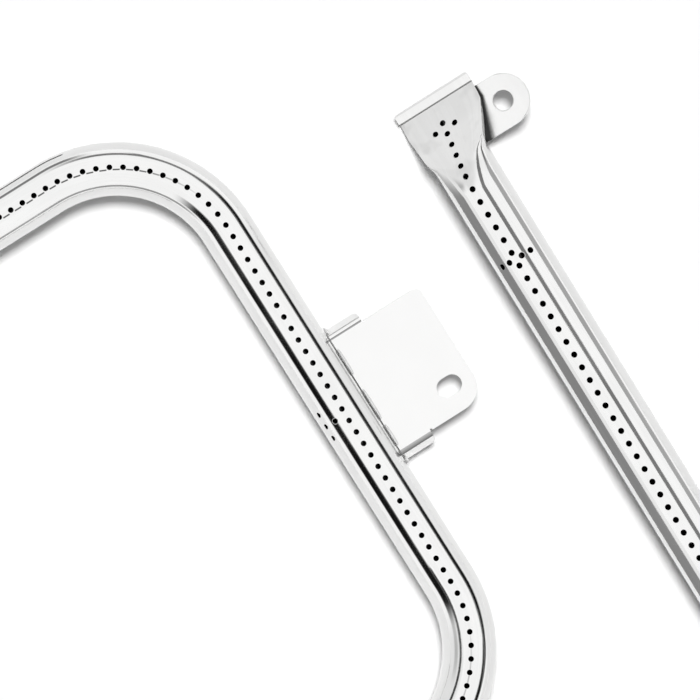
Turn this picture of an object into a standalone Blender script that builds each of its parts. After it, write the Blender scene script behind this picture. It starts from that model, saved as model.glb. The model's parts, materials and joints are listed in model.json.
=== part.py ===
"""Tubular gas burner set: a bent main burner with its mounting bracket, and a straight inner burner.

Metres, +Z up. The world origin is on the underside of the mounting bracket, which seats on the fire box.
The main burner lies level with its ports upward: its bracket side runs along Y and both legs run to -X.
The inner burner lies beside it, nearly parallel to the bracket side, rolled towards the main burner as
it rests on the edge of its pressed end.
"""

import math

import bmesh
import bpy
from mathutils import Euler, Matrix, Vector

MM = 0.001
FIT_GAP = 0.3 * MM

# Main burner
MAIN_OD = 20.0 * MM
MAIN_LEG_SPACING = 250.0 * MM
MAIN_BEND_RADIUS = 48.0 * MM
MAIN_CLOSED_LEG = 282.1 * MM
MAIN_INLET_LEG = 385.0 * MM
MAIN_PORT_PITCH = 5.0 * MM
MAIN_PORT_DIAMETER = 2.0 * MM
CROSSOVER_NEAR_ANGLE = math.radians(-27)
CROSSOVER_FAR_ANGLE = math.radians(-57)
CROSSOVER_SHIFT = 4.1 * MM

# Inner burner
INNER_OD = 22.0 * MM
INNER_LENGTH = 460.0 * MM
INNER_PORT_PITCH = 5.5 * MM
INNER_PORT_DIAMETER = 2.2 * MM
INNER_AXIS_X = 87.5 * MM
INNER_END_Y = 79.1 * MM
INNER_ROLL = math.radians(18)
INNER_YAW = math.radians(-0.6)
CROSS_ROW_AT = 67.6 * MM
CROSS_ROW_ANGLES = [math.radians(a) for a in (-34.5, -14.5, 14.5, 34.5)]

# Tube wall and the pressed, folded end of each burner
WALL = 0.9 * MM
FLAT_WIDTH = 32.0 * MM
FLAT_SHIFT = 1.3 * MM
FLAT_LENGTH = 10.0 * MM
HEM_LENGTH = 3.8 * MM
HEM_ROUND = 0.7 * MM
PRESS_LENGTH = 33.5 * MM
TAPER_LENGTH = 16.0 * MM
CAVITY_FROM_FLAT = 1.2 * MM
FIRST_PORT = 1.3 * MM
END_CLUSTER_SPREAD = 4.3 * MM
ROUND_SQUARENESS = 2.0
FLAT_SQUARENESS = 6.0
SQUARENESS_POWER = 5.0

# Mounting ear under each pressed end
EAR_THICKNESS = 1.5 * MM
EAR_WIDTH = 20.3 * MM
EAR_REACH = 23.1 * MM
EAR_FROM_END = 15.6 * MM
EAR_ROOT = 9.0 * MM
EAR_HOLE = 7.6 * MM

# Mounting bracket on the main burner
BRACKET_THICKNESS = 1.5 * MM
BRACKET_WIDTH = 48.0 * MM
BRACKET_REACH = 48.6 * MM
BRACKET_SHIFT = -2.2 * MM
BRACKET_SMALL_CORNER = 3.2 * MM
BRACKET_LARGE_CORNER = 9.5 * MM
FLANGE_REACH = 24.0 * MM
FLANGE_ANGLE = math.radians(57)
FLANGE_BEND_RADIUS = 3.0 * MM
FLANGE_SLOPE_LENGTH = 3.2 * MM
FLANGE_CORNER = 2.2 * MM
RELIEF_WIDTH = 1.6 * MM
RELIEF_DEPTH = 1.2 * MM
SLOT_LENGTH = 9.9 * MM
SLOT_WIDTH = 7.3 * MM
SLOT_REACH = 38.7 * MM
SLOT_SHIFT = -13.6 * MM
SEAT_REACH = 27.0 * MM

# Weld beads between bracket and tube
BEAD_RADIUS = 0.6 * MM
SEAM_BEADS = [(14.5 * MM, 11.0 * MM), (-4.0 * MM, 13.0 * MM), (-17.5 * MM, 9.0 * MM)]
FLANGE_BEAD_LENGTH = 3.6 * MM

# Necked inlet of each tube
INLET_OD = 15.0 * MM
INLET_LENGTH = 46.0 * MM
SHOULDER_LENGTH = 14.0 * MM
UNPORTED_LENGTH = 100.0 * MM
WINDOW_FROM_END = 9.0 * MM
WINDOW_LENGTH = 13.0 * MM
WINDOW_HALF_ANGLE = math.radians(26)

# Air shutter with its screw and nut
SHUTTER_FROM_END = 1.2 * MM
SHUTTER_LENGTH = 35.0 * MM
SHUTTER_WALL = 0.8 * MM
SHUTTER_TURN = math.radians(60)
SHUTTER_LUG_HEIGHT = 2.2 * MM
SHUTTER_LUG_WIDTH = 2.4 * MM
SHUTTER_LUG_LENGTH = 6.0 * MM
SCREW_FROM_END = 30.6 * MM
SCREW_DIAMETER = 3.0 * MM
SCREW_HEAD_DIAMETER = 5.6 * MM
SCREW_HEAD_HEIGHT = 2.0 * MM
SCREW_REACH = 4.2 * MM
SCREW_SLOT_WIDTH = 0.8 * MM
SCREW_SLOT_DEPTH = 0.9 * MM
NUT_ACROSS_FLATS = 5.5 * MM
NUT_THICKNESS = 2.4 * MM

# Insect screen round the air windows, and the bush in the mouth
SCREEN_GAP = 0.4 * MM
SCREEN_WALL = 0.6 * MM
SCREEN_LENGTH = 25.5 * MM
SCREEN_ROWS = 2
SCREEN_COLUMNS = 12
SCREEN_OPENING = 0.72
BUSH_FLANGE = 3.0 * MM
BUSH_SPIGOT = 6.0 * MM
BUSH_BORE = 9.6 * MM
BUSH_CHAMFER = 1.0 * MM

# Facets
TUBE_SIDES = 16
TURNED_SIDES = 24
SCREW_SIDES = 12
PORT_SIDES = 6
PRESS_RINGS = 6
CORNER_STEPS = 6
BEND_STEPS = 3
BEAD_SEGMENTS = 6
BEAD_RINGS = 5
NUT_SIDES = 6
SHARP_ANGLE = math.radians(35)
MERGE_DISTANCE = 0.01 * MM
EMPTY_SIZE = 20.0 * MM
THROUGH = 4

STEEL = (0.80, 0.80, 0.79)
PLATED = (0.70, 0.71, 0.72)
BRIGHT = (0.86, 0.86, 0.85)
BRASS = (0.78, 0.62, 0.30)

SIDE_LENGTH = MAIN_LEG_SPACING - 2 * MAIN_BEND_RADIUS
BEND_LENGTH = math.pi / 2 * MAIN_BEND_RADIUS
MAIN_LENGTH = MAIN_CLOSED_LEG + 2 * BEND_LENGTH + SIDE_LENGTH + MAIN_INLET_LEG
FLAT_HEIGHT = 2 * WALL
FLAT_LIFT = EAR_THICKNESS + FIT_GAP
FACET_SHARE = math.cos(math.pi / TUBE_SIDES)
AXIS_HEIGHT = BRACKET_THICKNESS
UP = Vector((0, 0, 1))


def clear_scene():
    for obj in list(bpy.data.objects):
        bpy.data.objects.remove(obj, do_unlink=True)


def new_collection(name):
    collection = bpy.data.collections.new(name)
    bpy.context.scene.collection.children.link(collection)
    return collection


def add_empty(name, parent=None, matrix=None):
    empty = bpy.data.objects.new(name, None)
    empty.empty_display_size = EMPTY_SIZE
    parts.objects.link(empty)
    empty.parent = parent
    if matrix is not None:
        empty.matrix_local = matrix
    return empty


def add_object(name, data, parent, collection):
    obj = bpy.data.objects.new(name, data)
    collection.objects.link(obj)
    obj.parent = parent
    return obj


def add_part(name, data, parent, colour, roughness):
    """A visible sub-part with its own material, shaded smooth apart from its sharp edges."""
    obj = add_object(name, data, parent, parts)
    material = bpy.data.materials.new(name)
    material.use_nodes = True
    shader = material.node_tree.nodes["Principled BSDF"]
    shader.inputs["Base Color"].default_value = (*colour, 1.0)
    shader.inputs["Metallic"].default_value = 1.0
    shader.inputs["Roughness"].default_value = roughness
    data.materials.append(material)
    if isinstance(data, bpy.types.Mesh):
        data.shade_smooth()
        data.set_sharp_from_angle(angle=SHARP_ANGLE)
    return obj


def add_cutter(name, data, parent):
    cutter = add_object(name, data, parent, cutters)
    cutter.hide_render = True
    cutter.display_type = "WIRE"
    return cutter


def cut(obj, cutter):
    modifier = obj.modifiers.new(cutter.name, "BOOLEAN")
    modifier.operation = "DIFFERENCE"
    modifier.object = cutter


def join(obj, other):
    modifier = obj.modifiers.new(other.name, "BOOLEAN")
    modifier.operation = "UNION"
    modifier.object = other


def mesh_from(bm, name):
    bmesh.ops.recalc_face_normals(bm, faces=bm.faces)
    mesh = bpy.data.meshes.new(name)
    bm.to_mesh(mesh)
    bm.free()
    return mesh


def add_prism(bm, sides, radius, depth, matrix):
    bmesh.ops.create_cone(
        bm, cap_ends=True, segments=sides, radius1=radius, radius2=radius, depth=depth, matrix=matrix
    )


def add_box(bm, size, centre):
    bmesh.ops.create_cube(bm, size=1.0, matrix=Matrix.Translation(centre) @ Matrix.Diagonal((*size, 1.0)))


def arc(centre, radius, start, end, steps):
    """Points of a circular arc in a plane, ends included."""
    turns = [start + (end - start) * i / steps for i in range(steps + 1)]
    return [(centre[0] + radius * math.cos(a), centre[1] + radius * math.sin(a)) for a in turns]


def turned(name, profile, angle=2 * math.pi, sides=TURNED_SIDES):
    """Mesh of a profile of (radius, height) points, closed and turned about Z through this angle."""
    mesh = bpy.data.meshes.new(name)
    count = len(profile)
    edges = [(i, (i + 1) % count) for i in range(count)]
    mesh.from_pydata([(r, 0, z) for r, z in profile], edges, [])
    source = bpy.data.objects.new(name, mesh)
    bpy.context.scene.collection.objects.link(source)
    screw = source.modifiers.new("Screw", "SCREW")
    screw.angle = angle
    screw.steps = sides
    screw.render_steps = sides
    screw.use_merge_vertices = True
    screw.merge_threshold = MERGE_DISTANCE
    graph = bpy.context.evaluated_depsgraph_get()
    result = bpy.data.meshes.new_from_object(source.evaluated_get(graph))
    result.name = name
    bpy.data.objects.remove(source, do_unlink=True)
    bpy.data.meshes.remove(mesh)
    bm = bmesh.new()
    bm.from_mesh(result)
    if angle < 2 * math.pi:
        bmesh.ops.holes_fill(bm, edges=bm.edges, sides=count)
    bmesh.ops.recalc_face_normals(bm, faces=bm.faces)
    bm.to_mesh(result)
    bm.free()
    return result


def ring_profile(inner, outer, low, high):
    return [(outer, high), (outer, low), (inner, low), (inner, high)]


def flat_outline(name, loops, thickness):
    """Curve of flat outlines, the first the edge and the rest holes, with this thickness about its plane."""
    curve = bpy.data.curves.new(name, "CURVE")
    curve.dimensions = "2D"
    curve.fill_mode = "BOTH"
    curve.extrude = thickness / 2
    for loop in loops:
        spline = curve.splines.new("POLY")
        spline.points.add(len(loop) - 1)
        spline.use_cyclic_u = True
        for point, (x, y) in zip(spline.points, loop):
            point.co = (x, y, 0, 1)
    return curve


def oval(width, height, bottom, squareness):
    """Section of a tube as (sideways, upward) points: round at squareness 2, flatter-sided above."""
    points = []
    for k in range(TUBE_SIDES):
        angle = 2 * math.pi * (k + 0.5) / TUBE_SIDES
        side, up = math.sin(angle), math.cos(angle)
        reach = (abs(side) ** squareness + abs(up) ** squareness) ** (-1 / squareness)
        points.append((width / 2 * side * reach, bottom + height / 2 * (1 + up * reach)))
    return points


def pressed_sections(diameter):
    """Sections down a pressed end, and how many of them lie before the cavity.

    Each is (distance, width, height, bottom, aside, squareness).
    """
    radius = diameter / 2
    level = FLAT_LIFT - radius
    hem = 2 * FLAT_HEIGHT
    flat = (FLAT_SHIFT, FLAT_SQUARENESS)
    sections = [
        (0.0, FLAT_WIDTH - 2 * HEM_ROUND, hem - 2 * HEM_ROUND, level + HEM_ROUND, *flat),
        (HEM_ROUND, FLAT_WIDTH, hem, level, *flat),
        (HEM_LENGTH, FLAT_WIDTH, hem, level, *flat),
        (HEM_LENGTH + FIT_GAP, FLAT_WIDTH, FLAT_HEIGHT, level, *flat),
        (FLAT_LENGTH, FLAT_WIDTH, FLAT_HEIGHT, level, *flat),
    ]
    solid_count = len(sections)
    ear_end = EAR_FROM_END + EAR_WIDTH / 2 + FIT_GAP
    slope_length = PRESS_LENGTH - FLAT_LENGTH
    for distance in [CAVITY_FROM_FLAT, *[slope_length * i / PRESS_RINGS for i in range(1, PRESS_RINGS + 1)]]:
        share = distance / slope_length
        top = level + FLAT_HEIGHT + (radius - level - FLAT_HEIGHT) * share
        fall = max(0.0, (FLAT_LENGTH + distance - ear_end) / (PRESS_LENGTH - ear_end))
        bottom = level - FLAT_LIFT * fall
        spread = max(0.0, 1 - distance / TAPER_LENGTH)
        width = diameter + (FLAT_WIDTH - diameter) * spread
        flatness = 1 - share**SQUARENESS_POWER
        squareness = ROUND_SQUARENESS + (FLAT_SQUARENESS - ROUND_SQUARENESS) * flatness
        aside = FLAT_SHIFT * spread
        sections.append((FLAT_LENGTH + distance, width, top - bottom, bottom, aside, squareness))
    return sections, solid_count


def round_section(distance, diameter):
    return (distance, diameter, diameter, -diameter / 2, 0.0, ROUND_SQUARENESS)


def inlet_sections(diameter, length):
    return [
        round_section(length - INLET_LENGTH - SHOULDER_LENGTH, diameter),
        round_section(length - INLET_LENGTH, INLET_OD),
        round_section(length, INLET_OD),
    ]


def path_matrix(point, heading):
    """Frame on a centre line: X along the tube, Y to its left, Z up."""
    return Matrix.Translation(point) @ Matrix.Rotation(heading, 4, "Z")


def main_path(distance):
    """Frame on the main tube's centre line, this far from its pressed end."""
    corner = -MAIN_BEND_RADIUS
    half_side = SIDE_LENGTH / 2
    if distance <= MAIN_CLOSED_LEG:
        start = corner - MAIN_CLOSED_LEG
        return path_matrix((start + distance, MAIN_LEG_SPACING / 2, 0), 0.0)
    distance -= MAIN_CLOSED_LEG
    if distance <= BEND_LENGTH:
        turn = distance / MAIN_BEND_RADIUS
        x = corner + MAIN_BEND_RADIUS * math.sin(turn)
        y = half_side + MAIN_BEND_RADIUS * math.cos(turn)
        return path_matrix((x, y, 0), -turn)
    distance -= BEND_LENGTH
    if distance <= SIDE_LENGTH:
        return path_matrix((0, half_side - distance, 0), -math.pi / 2)
    distance -= SIDE_LENGTH
    if distance <= BEND_LENGTH:
        turn = distance / MAIN_BEND_RADIUS
        x = corner + MAIN_BEND_RADIUS * math.cos(turn)
        y = -half_side - MAIN_BEND_RADIUS * math.sin(turn)
        return path_matrix((x, y, 0), -math.pi / 2 - turn)
    distance -= BEND_LENGTH
    return path_matrix((corner - distance, -MAIN_LEG_SPACING / 2, 0), -math.pi)


def inner_path(distance):
    return path_matrix((distance, 0, 0), 0.0)


def press_slope(diameter):
    """Angle of the sloping top wall of a pressed end."""
    return math.atan2(diameter - FLAT_LIFT - FLAT_HEIGHT, PRESS_LENGTH - FLAT_LENGTH)


def port_distances(diameter, pitch, length):
    """How far from the pressed end each port is, at an even pitch along the top wall."""
    slope = press_slope(diameter)
    slope_length = (PRESS_LENGTH - FLAT_LENGTH) / math.cos(slope)
    distances = []
    run = FIRST_PORT
    while True:
        if run < slope_length:
            distance = FLAT_LENGTH + run * math.cos(slope)
        else:
            distance = PRESS_LENGTH + run - slope_length
        if distance > length - UNPORTED_LENGTH:
            return distances
        distances.append(distance)
        run += pitch


def port_frame(path, distance, diameter, angle=0.0, aside=0.0):
    """Frame of a port in the tube's top wall, Z square to the wall.

    The port can lie at an angle round the tube, or be shifted aside.
    """
    radius = diameter / 2
    frame = path(distance) @ Matrix.Rotation(-angle, 4, "X")
    if distance >= PRESS_LENGTH:
        return frame @ Matrix.Translation((0, aside, radius))
    slope = press_slope(diameter)
    height = radius - (PRESS_LENGTH - distance) * math.tan(slope)
    return frame @ Matrix.Translation((0, aside, height)) @ Matrix.Rotation(-slope, 4, "Y")


def bend_stations(ports):
    """Ring distances round the two bends, midway between ports so that each port has a flat facet."""
    starts = (MAIN_CLOSED_LEG, MAIN_CLOSED_LEG + BEND_LENGTH + SIDE_LENGTH)
    stations = []
    for start in starts:
        middles = [(a + b) / 2 for a, b in zip(ports, ports[1:])]
        clear = MAIN_PORT_PITCH / 4
        inside = [m for m in middles if start + clear < m < start + BEND_LENGTH - clear]
        stations += [start, *inside, start + BEND_LENGTH]
    return stations


def add_rings(bm, sections, path, inset):
    """Rings of points along a path, one for each section, drawn in by the inset."""
    rings = []
    for distance, width, height, bottom, aside, squareness in sections:
        points = oval(width - 2 * inset, height - 2 * inset, bottom + inset, squareness)
        frame = path(distance)
        rings.append([bm.verts.new(frame @ Vector((0, aside + side, up))) for side, up in points])
    return rings


def bridge(bm, first, second):
    for k in range(TUBE_SIDES):
        after = (k + 1) % TUBE_SIDES
        bm.faces.new((first[k], first[after], second[after], second[k]))


def tube_mesh(name, sections, solid_count, path):
    """Loft of a tube whose pressed end is closed and whose inlet end is open, with an even wall."""
    bm = bmesh.new()
    outer = add_rings(bm, sections, path, 0.0)
    inner = add_rings(bm, sections[solid_count:], path, WALL)
    for rings in (outer, inner):
        bm.faces.new(rings[0])
        for first, second in zip(rings, rings[1:]):
            bridge(bm, first, second)
    bridge(bm, outer[-1], inner[-1])
    return mesh_from(bm, name)


def port_cutter(name, frames, diameter, parent):
    bm = bmesh.new()
    for frame in frames:
        add_prism(bm, PORT_SIDES, diameter / 2, THROUGH * WALL, frame)
    return add_cutter(name, mesh_from(bm, name), parent)


def inlet_matrix(path, length):
    """Frame on a tube's mouth: Z out along the tube, Y up."""
    turn = Matrix(((0, 0, 1, 0), (1, 0, 0, 0), (0, 1, 0, 0), (0, 0, 0, 1)))
    return path(length) @ turn


def window_size(radius):
    """Box that cuts the two air windows through a round wall of this radius."""
    return (2 * radius * math.sin(WINDOW_HALF_ANGLE), THROUGH * radius, WINDOW_LENGTH)


def screw_matrix():
    """Frame of the shutter screw on the mouth's frame: Z out of the tube wall."""
    return Matrix.Translation((0, 0, -SCREW_FROM_END)) @ Matrix.Rotation(math.pi / 2, 4, "Y")


def inlet_cutter(name, parent):
    """Air windows and screw hole of a tube's necked inlet."""
    radius = INLET_OD / 2
    bm = bmesh.new()
    add_box(bm, window_size(radius), (0, 0, -WINDOW_FROM_END - WINDOW_LENGTH / 2))
    hole = SCREW_DIAMETER / 2 + FIT_GAP
    place = screw_matrix() @ Matrix.Translation((0, 0, radius))
    add_prism(bm, TUBE_SIDES, hole, THROUGH * WALL, place)
    return add_cutter(name, mesh_from(bm, name), parent)


def add_shutter(prefix, inlet):
    """Collar that turns on the inlet, with windows, a slot for its screw and a lug to turn it by."""
    inner = INLET_OD / 2 + FIT_GAP
    outer = inner + SHUTTER_WALL
    high = -SHUTTER_FROM_END
    low = high - SHUTTER_LENGTH
    name = prefix + "_air_shutter"
    shutter = add_part(name, turned(name, ring_profile(inner, outer, low, high)), inlet, BRIGHT, 0.25)

    bm = bmesh.new()
    lug_bottom = (inner + outer) / 2
    lug = (SHUTTER_LUG_HEIGHT + outer - lug_bottom, SHUTTER_LUG_WIDTH, SHUTTER_LUG_LENGTH)
    add_box(bm, lug, (-lug_bottom - lug[0] / 2, 0, -SCREW_FROM_END))
    join(shutter, add_cutter(name + "_lug", mesh_from(bm, name + "_lug"), inlet))

    bm = bmesh.new()
    add_box(bm, window_size(INLET_OD / 2), (0, 0, -WINDOW_FROM_END - WINDOW_LENGTH / 2))
    cut(shutter, add_cutter(name + "_windows", mesh_from(bm, name + "_windows"), inlet))

    shank = SCREW_DIAMETER / 2 + FIT_GAP
    spare = shank / inner
    band = ring_profile(inner - WALL, outer + WALL, -SCREW_FROM_END - shank, -SCREW_FROM_END + shank)
    slot = turned(name + "_slot", band, SHUTTER_TURN + 2 * spare)
    slot_cutter = add_cutter(name + "_slot", slot, inlet)
    slot_cutter.rotation_euler.z = -SHUTTER_TURN - spare
    cut(shutter, slot_cutter)
    return outer


def add_screw(prefix, inlet, shutter_outer):
    """Slotted pan-head screw through the shutter's slot and the tube wall."""
    name = prefix + "_shutter_screw"
    seat = shutter_outer + FIT_GAP
    top = seat + SCREW_HEAD_HEIGHT
    shank = SCREW_DIAMETER / 2
    head = SCREW_HEAD_DIAMETER / 2
    crown_radius = SCREW_HEAD_HEIGHT / 2
    crown = arc((head - crown_radius, top - crown_radius), crown_radius, math.pi / 2, 0, BEND_STEPS)
    foot = seat - SCREW_REACH
    profile = [(0, top), *crown, (head, seat), (shank, seat), (shank, foot), (0, foot)]
    screw = add_part(name, turned(name, profile, sides=SCREW_SIDES), inlet, PLATED, 0.3)
    screw.matrix_local = screw_matrix()
    bm = bmesh.new()
    add_box(bm, (2 * SCREW_HEAD_DIAMETER, SCREW_SLOT_WIDTH, 2 * SCREW_SLOT_DEPTH), (0, 0, top))
    slot = add_cutter(name + "_slot", mesh_from(bm, name + "_slot"), inlet)
    slot.matrix_local = screw_matrix()
    cut(screw, slot)


def add_nut(prefix, inlet):
    """Weld nut under the tube wall, which the shutter screw threads into."""
    name = prefix + "_shutter_nut"
    bore = INLET_OD / 2 - WALL
    corner = NUT_ACROSS_FLATS / math.sqrt(3)
    top = math.sqrt(bore**2 - corner**2) - FIT_GAP
    middle = Matrix.Translation((0, 0, top - NUT_THICKNESS / 2))
    bm = bmesh.new()
    add_prism(bm, NUT_SIDES, corner, NUT_THICKNESS, middle)
    nut = add_part(name, mesh_from(bm, name), inlet, PLATED, 0.35)
    nut.matrix_local = screw_matrix()
    bm = bmesh.new()
    add_prism(bm, SCREW_SIDES, SCREW_DIAMETER / 2 + FIT_GAP, 2 * NUT_THICKNESS, middle)
    hole = add_cutter(name + "_hole", mesh_from(bm, name + "_hole"), inlet)
    hole.matrix_local = screw_matrix()
    cut(nut, hole)


def add_screen(prefix, inlet, shutter_outer):
    """Perforated sleeve that keeps insects out of the air windows."""
    name = prefix + "_insect_screen"
    inner = shutter_outer + SCREEN_GAP
    outer = inner + SCREEN_WALL
    high = 0.0
    low = high - SCREEN_LENGTH
    screen = add_part(name, turned(name, ring_profile(inner, outer, low, high)), inlet, STEEL, 0.4)
    facet = 2 * outer * math.sin(math.pi / TURNED_SIDES)
    row_height = SCREEN_LENGTH / SCREEN_ROWS
    size = (THROUGH * SCREEN_WALL, facet * SCREEN_OPENING, row_height * SCREEN_OPENING)
    bm = bmesh.new()
    for row in range(SCREEN_ROWS):
        for column in range(SCREEN_COLUMNS):
            angle = 2 * math.pi * column / SCREEN_COLUMNS + math.pi / TURNED_SIDES
            place = Matrix.Rotation(angle, 4, "Z")
            centre = Vector(((inner + outer) / 2, 0, high - (row + 0.5) * row_height))
            bmesh.ops.create_cube(
                bm, size=1.0, matrix=place @ Matrix.Translation(centre) @ Matrix.Diagonal((*size, 1.0))
            )
    cut(screen, add_cutter(name + "_openings", mesh_from(bm, name + "_openings"), inlet))
    return outer


def add_bush(prefix, inlet, screen_outer):
    """Flanged bush in the tube's mouth, which guides the gas orifice."""
    name = prefix + "_inlet_bush"
    low = FIT_GAP
    high = low + BUSH_FLANGE
    spigot = INLET_OD / 2 - WALL - FIT_GAP
    bore = BUSH_BORE / 2
    profile = [
        (bore + BUSH_CHAMFER, high),
        (screen_outer - BUSH_CHAMFER, high),
        (screen_outer, high - BUSH_CHAMFER),
        (screen_outer, low),
        (spigot, low),
        (spigot, low - BUSH_SPIGOT),
        (bore, low - BUSH_SPIGOT),
        (bore, high - BUSH_CHAMFER),
    ]
    add_part(name, turned(name, profile, sides=TUBE_SIDES), inlet, BRASS, 0.3)


def add_inlet(prefix, burner, path, length):
    """Everything on a tube's mouth, and the cutter for the tube itself."""
    inlet = add_empty(prefix + "_inlet", burner, inlet_matrix(path, length))
    shutter_outer = add_shutter(prefix, inlet)
    add_screw(prefix, inlet, shutter_outer)
    add_nut(prefix, inlet)
    screen_outer = add_screen(prefix, inlet, shutter_outer)
    add_bush(prefix, inlet, screen_outer)
    return inlet_cutter(prefix + "_inlet_cuts", inlet)


def add_ear(prefix, burner, path, diameter):
    """Flat mounting ear under the pressed end, out to the left, with its screw hole."""
    name = prefix + "_mount_ear"
    half = EAR_WIDTH / 2
    root = [(EAR_FROM_END - half, -EAR_ROOT), (EAR_FROM_END + half, -EAR_ROOT)]
    tip = arc((EAR_FROM_END, EAR_REACH), half, 0, math.pi, 2 * CORNER_STEPS)
    hole = arc((EAR_FROM_END, EAR_REACH), EAR_HOLE / 2, 0, 2 * math.pi, TUBE_SIDES)[:-1]
    ear = add_part(name, flat_outline(name, [root + tip, hole], EAR_THICKNESS), burner, BRIGHT, 0.3)
    ear.matrix_local = path(0.0) @ Matrix.Translation((0, 0, EAR_THICKNESS / 2 - diameter / 2))


def bracket_outline(root):
    """Corners of the bracket plate, anticlockwise from its root, with a relief notch beside each flange."""
    half = BRACKET_WIDTH / 2
    notch = [(FLANGE_REACH, half - RELIEF_DEPTH), (FLANGE_REACH + RELIEF_WIDTH, half - RELIEF_DEPTH)]
    lower = [(root, -half), (FLANGE_REACH, -half), *[(x, -y) for x, y in notch]]
    lower.append((FLANGE_REACH + RELIEF_WIDTH, -half))
    large = (BRACKET_REACH - BRACKET_LARGE_CORNER, BRACKET_LARGE_CORNER - half)
    small = (BRACKET_REACH - BRACKET_SMALL_CORNER, half - BRACKET_SMALL_CORNER)
    corners = arc(large, BRACKET_LARGE_CORNER, -math.pi / 2, 0, CORNER_STEPS)
    corners += arc(small, BRACKET_SMALL_CORNER, 0, math.pi / 2, CORNER_STEPS)
    upper = [(FLANGE_REACH + RELIEF_WIDTH, half), *reversed(notch), (FLANGE_REACH, half), (root, half)]
    return lower + corners + upper


def add_flange(bm, root_vert, end_vert, side):
    """Flange bent down from the plate's edge between two of its corners, on the +Y or -Y side."""
    root_x, end_x = root_vert.co.x, end_vert.co.x
    edge_y = root_vert.co.y
    previous = (root_vert, end_vert)
    for i in range(1, BEND_STEPS + 1):
        turn = FLANGE_ANGLE * i / BEND_STEPS
        y = edge_y + side * FLANGE_BEND_RADIUS * math.sin(turn)
        z = -FLANGE_BEND_RADIUS * (1 - math.cos(turn))
        current = (bm.verts.new((root_x, y, z)), bm.verts.new((end_x, y, z)))
        bm.faces.new((previous[0], previous[1], current[1], current[0]))
        previous = current
    bend = previous[0].co.copy()
    down = Vector((0, side * math.cos(FLANGE_ANGLE), -math.sin(FLANGE_ANGLE)))
    middle = (end_x - FLANGE_CORNER, FLANGE_SLOPE_LENGTH - FLANGE_CORNER)
    rounding = arc(middle, FLANGE_CORNER, 0, math.pi / 2, CORNER_STEPS)
    lower = [bm.verts.new(Vector((x, bend.y, bend.z)) + down * run) for x, run in rounding]
    lower.append(bm.verts.new(bend + down * FLANGE_SLOPE_LENGTH))
    bm.faces.new((previous[0], previous[1], *lower))


def add_bracket(burner):
    """Sheet bracket at the tube's mid height: a plate with a slot, and two flanges bent down at its root."""
    name = "main_mount_bracket"
    root = MAIN_OD / 2 * FACET_SHARE + FIT_GAP
    bm = bmesh.new()
    verts = [bm.verts.new((x, y, 0)) for x, y in bracket_outline(root)]
    plate = bm.faces.new(verts)
    add_flange(bm, verts[0], verts[1], -1)
    add_flange(bm, verts[-1], verts[-2], 1)
    bmesh.ops.recalc_face_normals(bm, faces=bm.faces)
    if plate.normal.z < 0:
        bmesh.ops.reverse_faces(bm, faces=bm.faces)
    mesh = bpy.data.meshes.new(name)
    bm.to_mesh(mesh)
    bm.free()
    bracket = add_part(name, mesh, burner, BRIGHT, 0.3)
    bracket.location = (0, BRACKET_SHIFT, 0)
    sheet = bracket.modifiers.new("Sheet", "SOLIDIFY")
    sheet.thickness = BRACKET_THICKNESS
    sheet.offset = -1
    sheet.use_even_offset = True

    run = (SLOT_LENGTH - SLOT_WIDTH) / 2
    ends = arc((run, 0), SLOT_WIDTH / 2, -math.pi / 2, math.pi / 2, CORNER_STEPS)
    ends += arc((-run, 0), SLOT_WIDTH / 2, math.pi / 2, 3 * math.pi / 2, CORNER_STEPS)
    bm = bmesh.new()
    face = bm.faces.new([bm.verts.new((x, y, -THROUGH * BRACKET_THICKNESS / 2)) for x, y in ends])
    raised = bmesh.ops.extrude_face_region(bm, geom=[face])["geom"]
    top = [v for v in raised if isinstance(v, bmesh.types.BMVert)]
    bmesh.ops.translate(bm, vec=(0, 0, THROUGH * BRACKET_THICKNESS), verts=top)
    slot = add_cutter("bracket_slot", mesh_from(bm, "bracket_slot"), bracket)
    slot.location = (SLOT_REACH, SLOT_SHIFT, 0)
    cut(bracket, slot)


def add_bead(name, burner, centre, length, direction):
    """Low weld bead, an ellipsoid along one direction."""
    bm = bmesh.new()
    bmesh.ops.create_uvsphere(bm, u_segments=BEAD_SEGMENTS, v_segments=BEAD_RINGS, radius=BEAD_RADIUS)
    stretch = length / 2 / BEAD_RADIUS
    bmesh.ops.scale(bm, vec=(1, 1, stretch), verts=bm.verts)
    turn = UP.rotation_difference(direction).to_matrix().to_4x4()
    bmesh.ops.transform(bm, matrix=turn, verts=bm.verts)
    bead = add_part(name, mesh_from(bm, name), burner, PLATED, 0.4)
    bead.location = centre


def add_beads(burner):
    """Tack welds along the seam between bracket plate and tube, and one on each flange's inner end."""
    reach = MAIN_OD / 2 + FIT_GAP + BEAD_RADIUS
    along = Vector((0, 1, 0))
    for i, (place, length) in enumerate(SEAM_BEADS, 1):
        centre = (reach, BRACKET_SHIFT + place, BEAD_RADIUS + FIT_GAP)
        add_bead(f"bracket_seam_weld_{i}", burner, centre, length, along)
    for label, side in (("lower", -1), ("upper", 1)):
        down = Vector((0, side * math.cos(FLANGE_ANGLE), -math.sin(FLANGE_ANGLE)))
        out = Vector((0, side * math.sin(FLANGE_ANGLE), math.cos(FLANGE_ANGLE)))
        bend_middle = Vector((reach, BRACKET_SHIFT + side * BRACKET_WIDTH / 2, -FLANGE_BEND_RADIUS))
        surface = bend_middle + out * FLANGE_BEND_RADIUS + down * FLANGE_SLOPE_LENGTH / 2
        centre = surface + out * (BEAD_RADIUS + FIT_GAP)
        add_bead(f"bracket_{label}_weld", burner, centre, FLANGE_BEAD_LENGTH, down)


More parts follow.
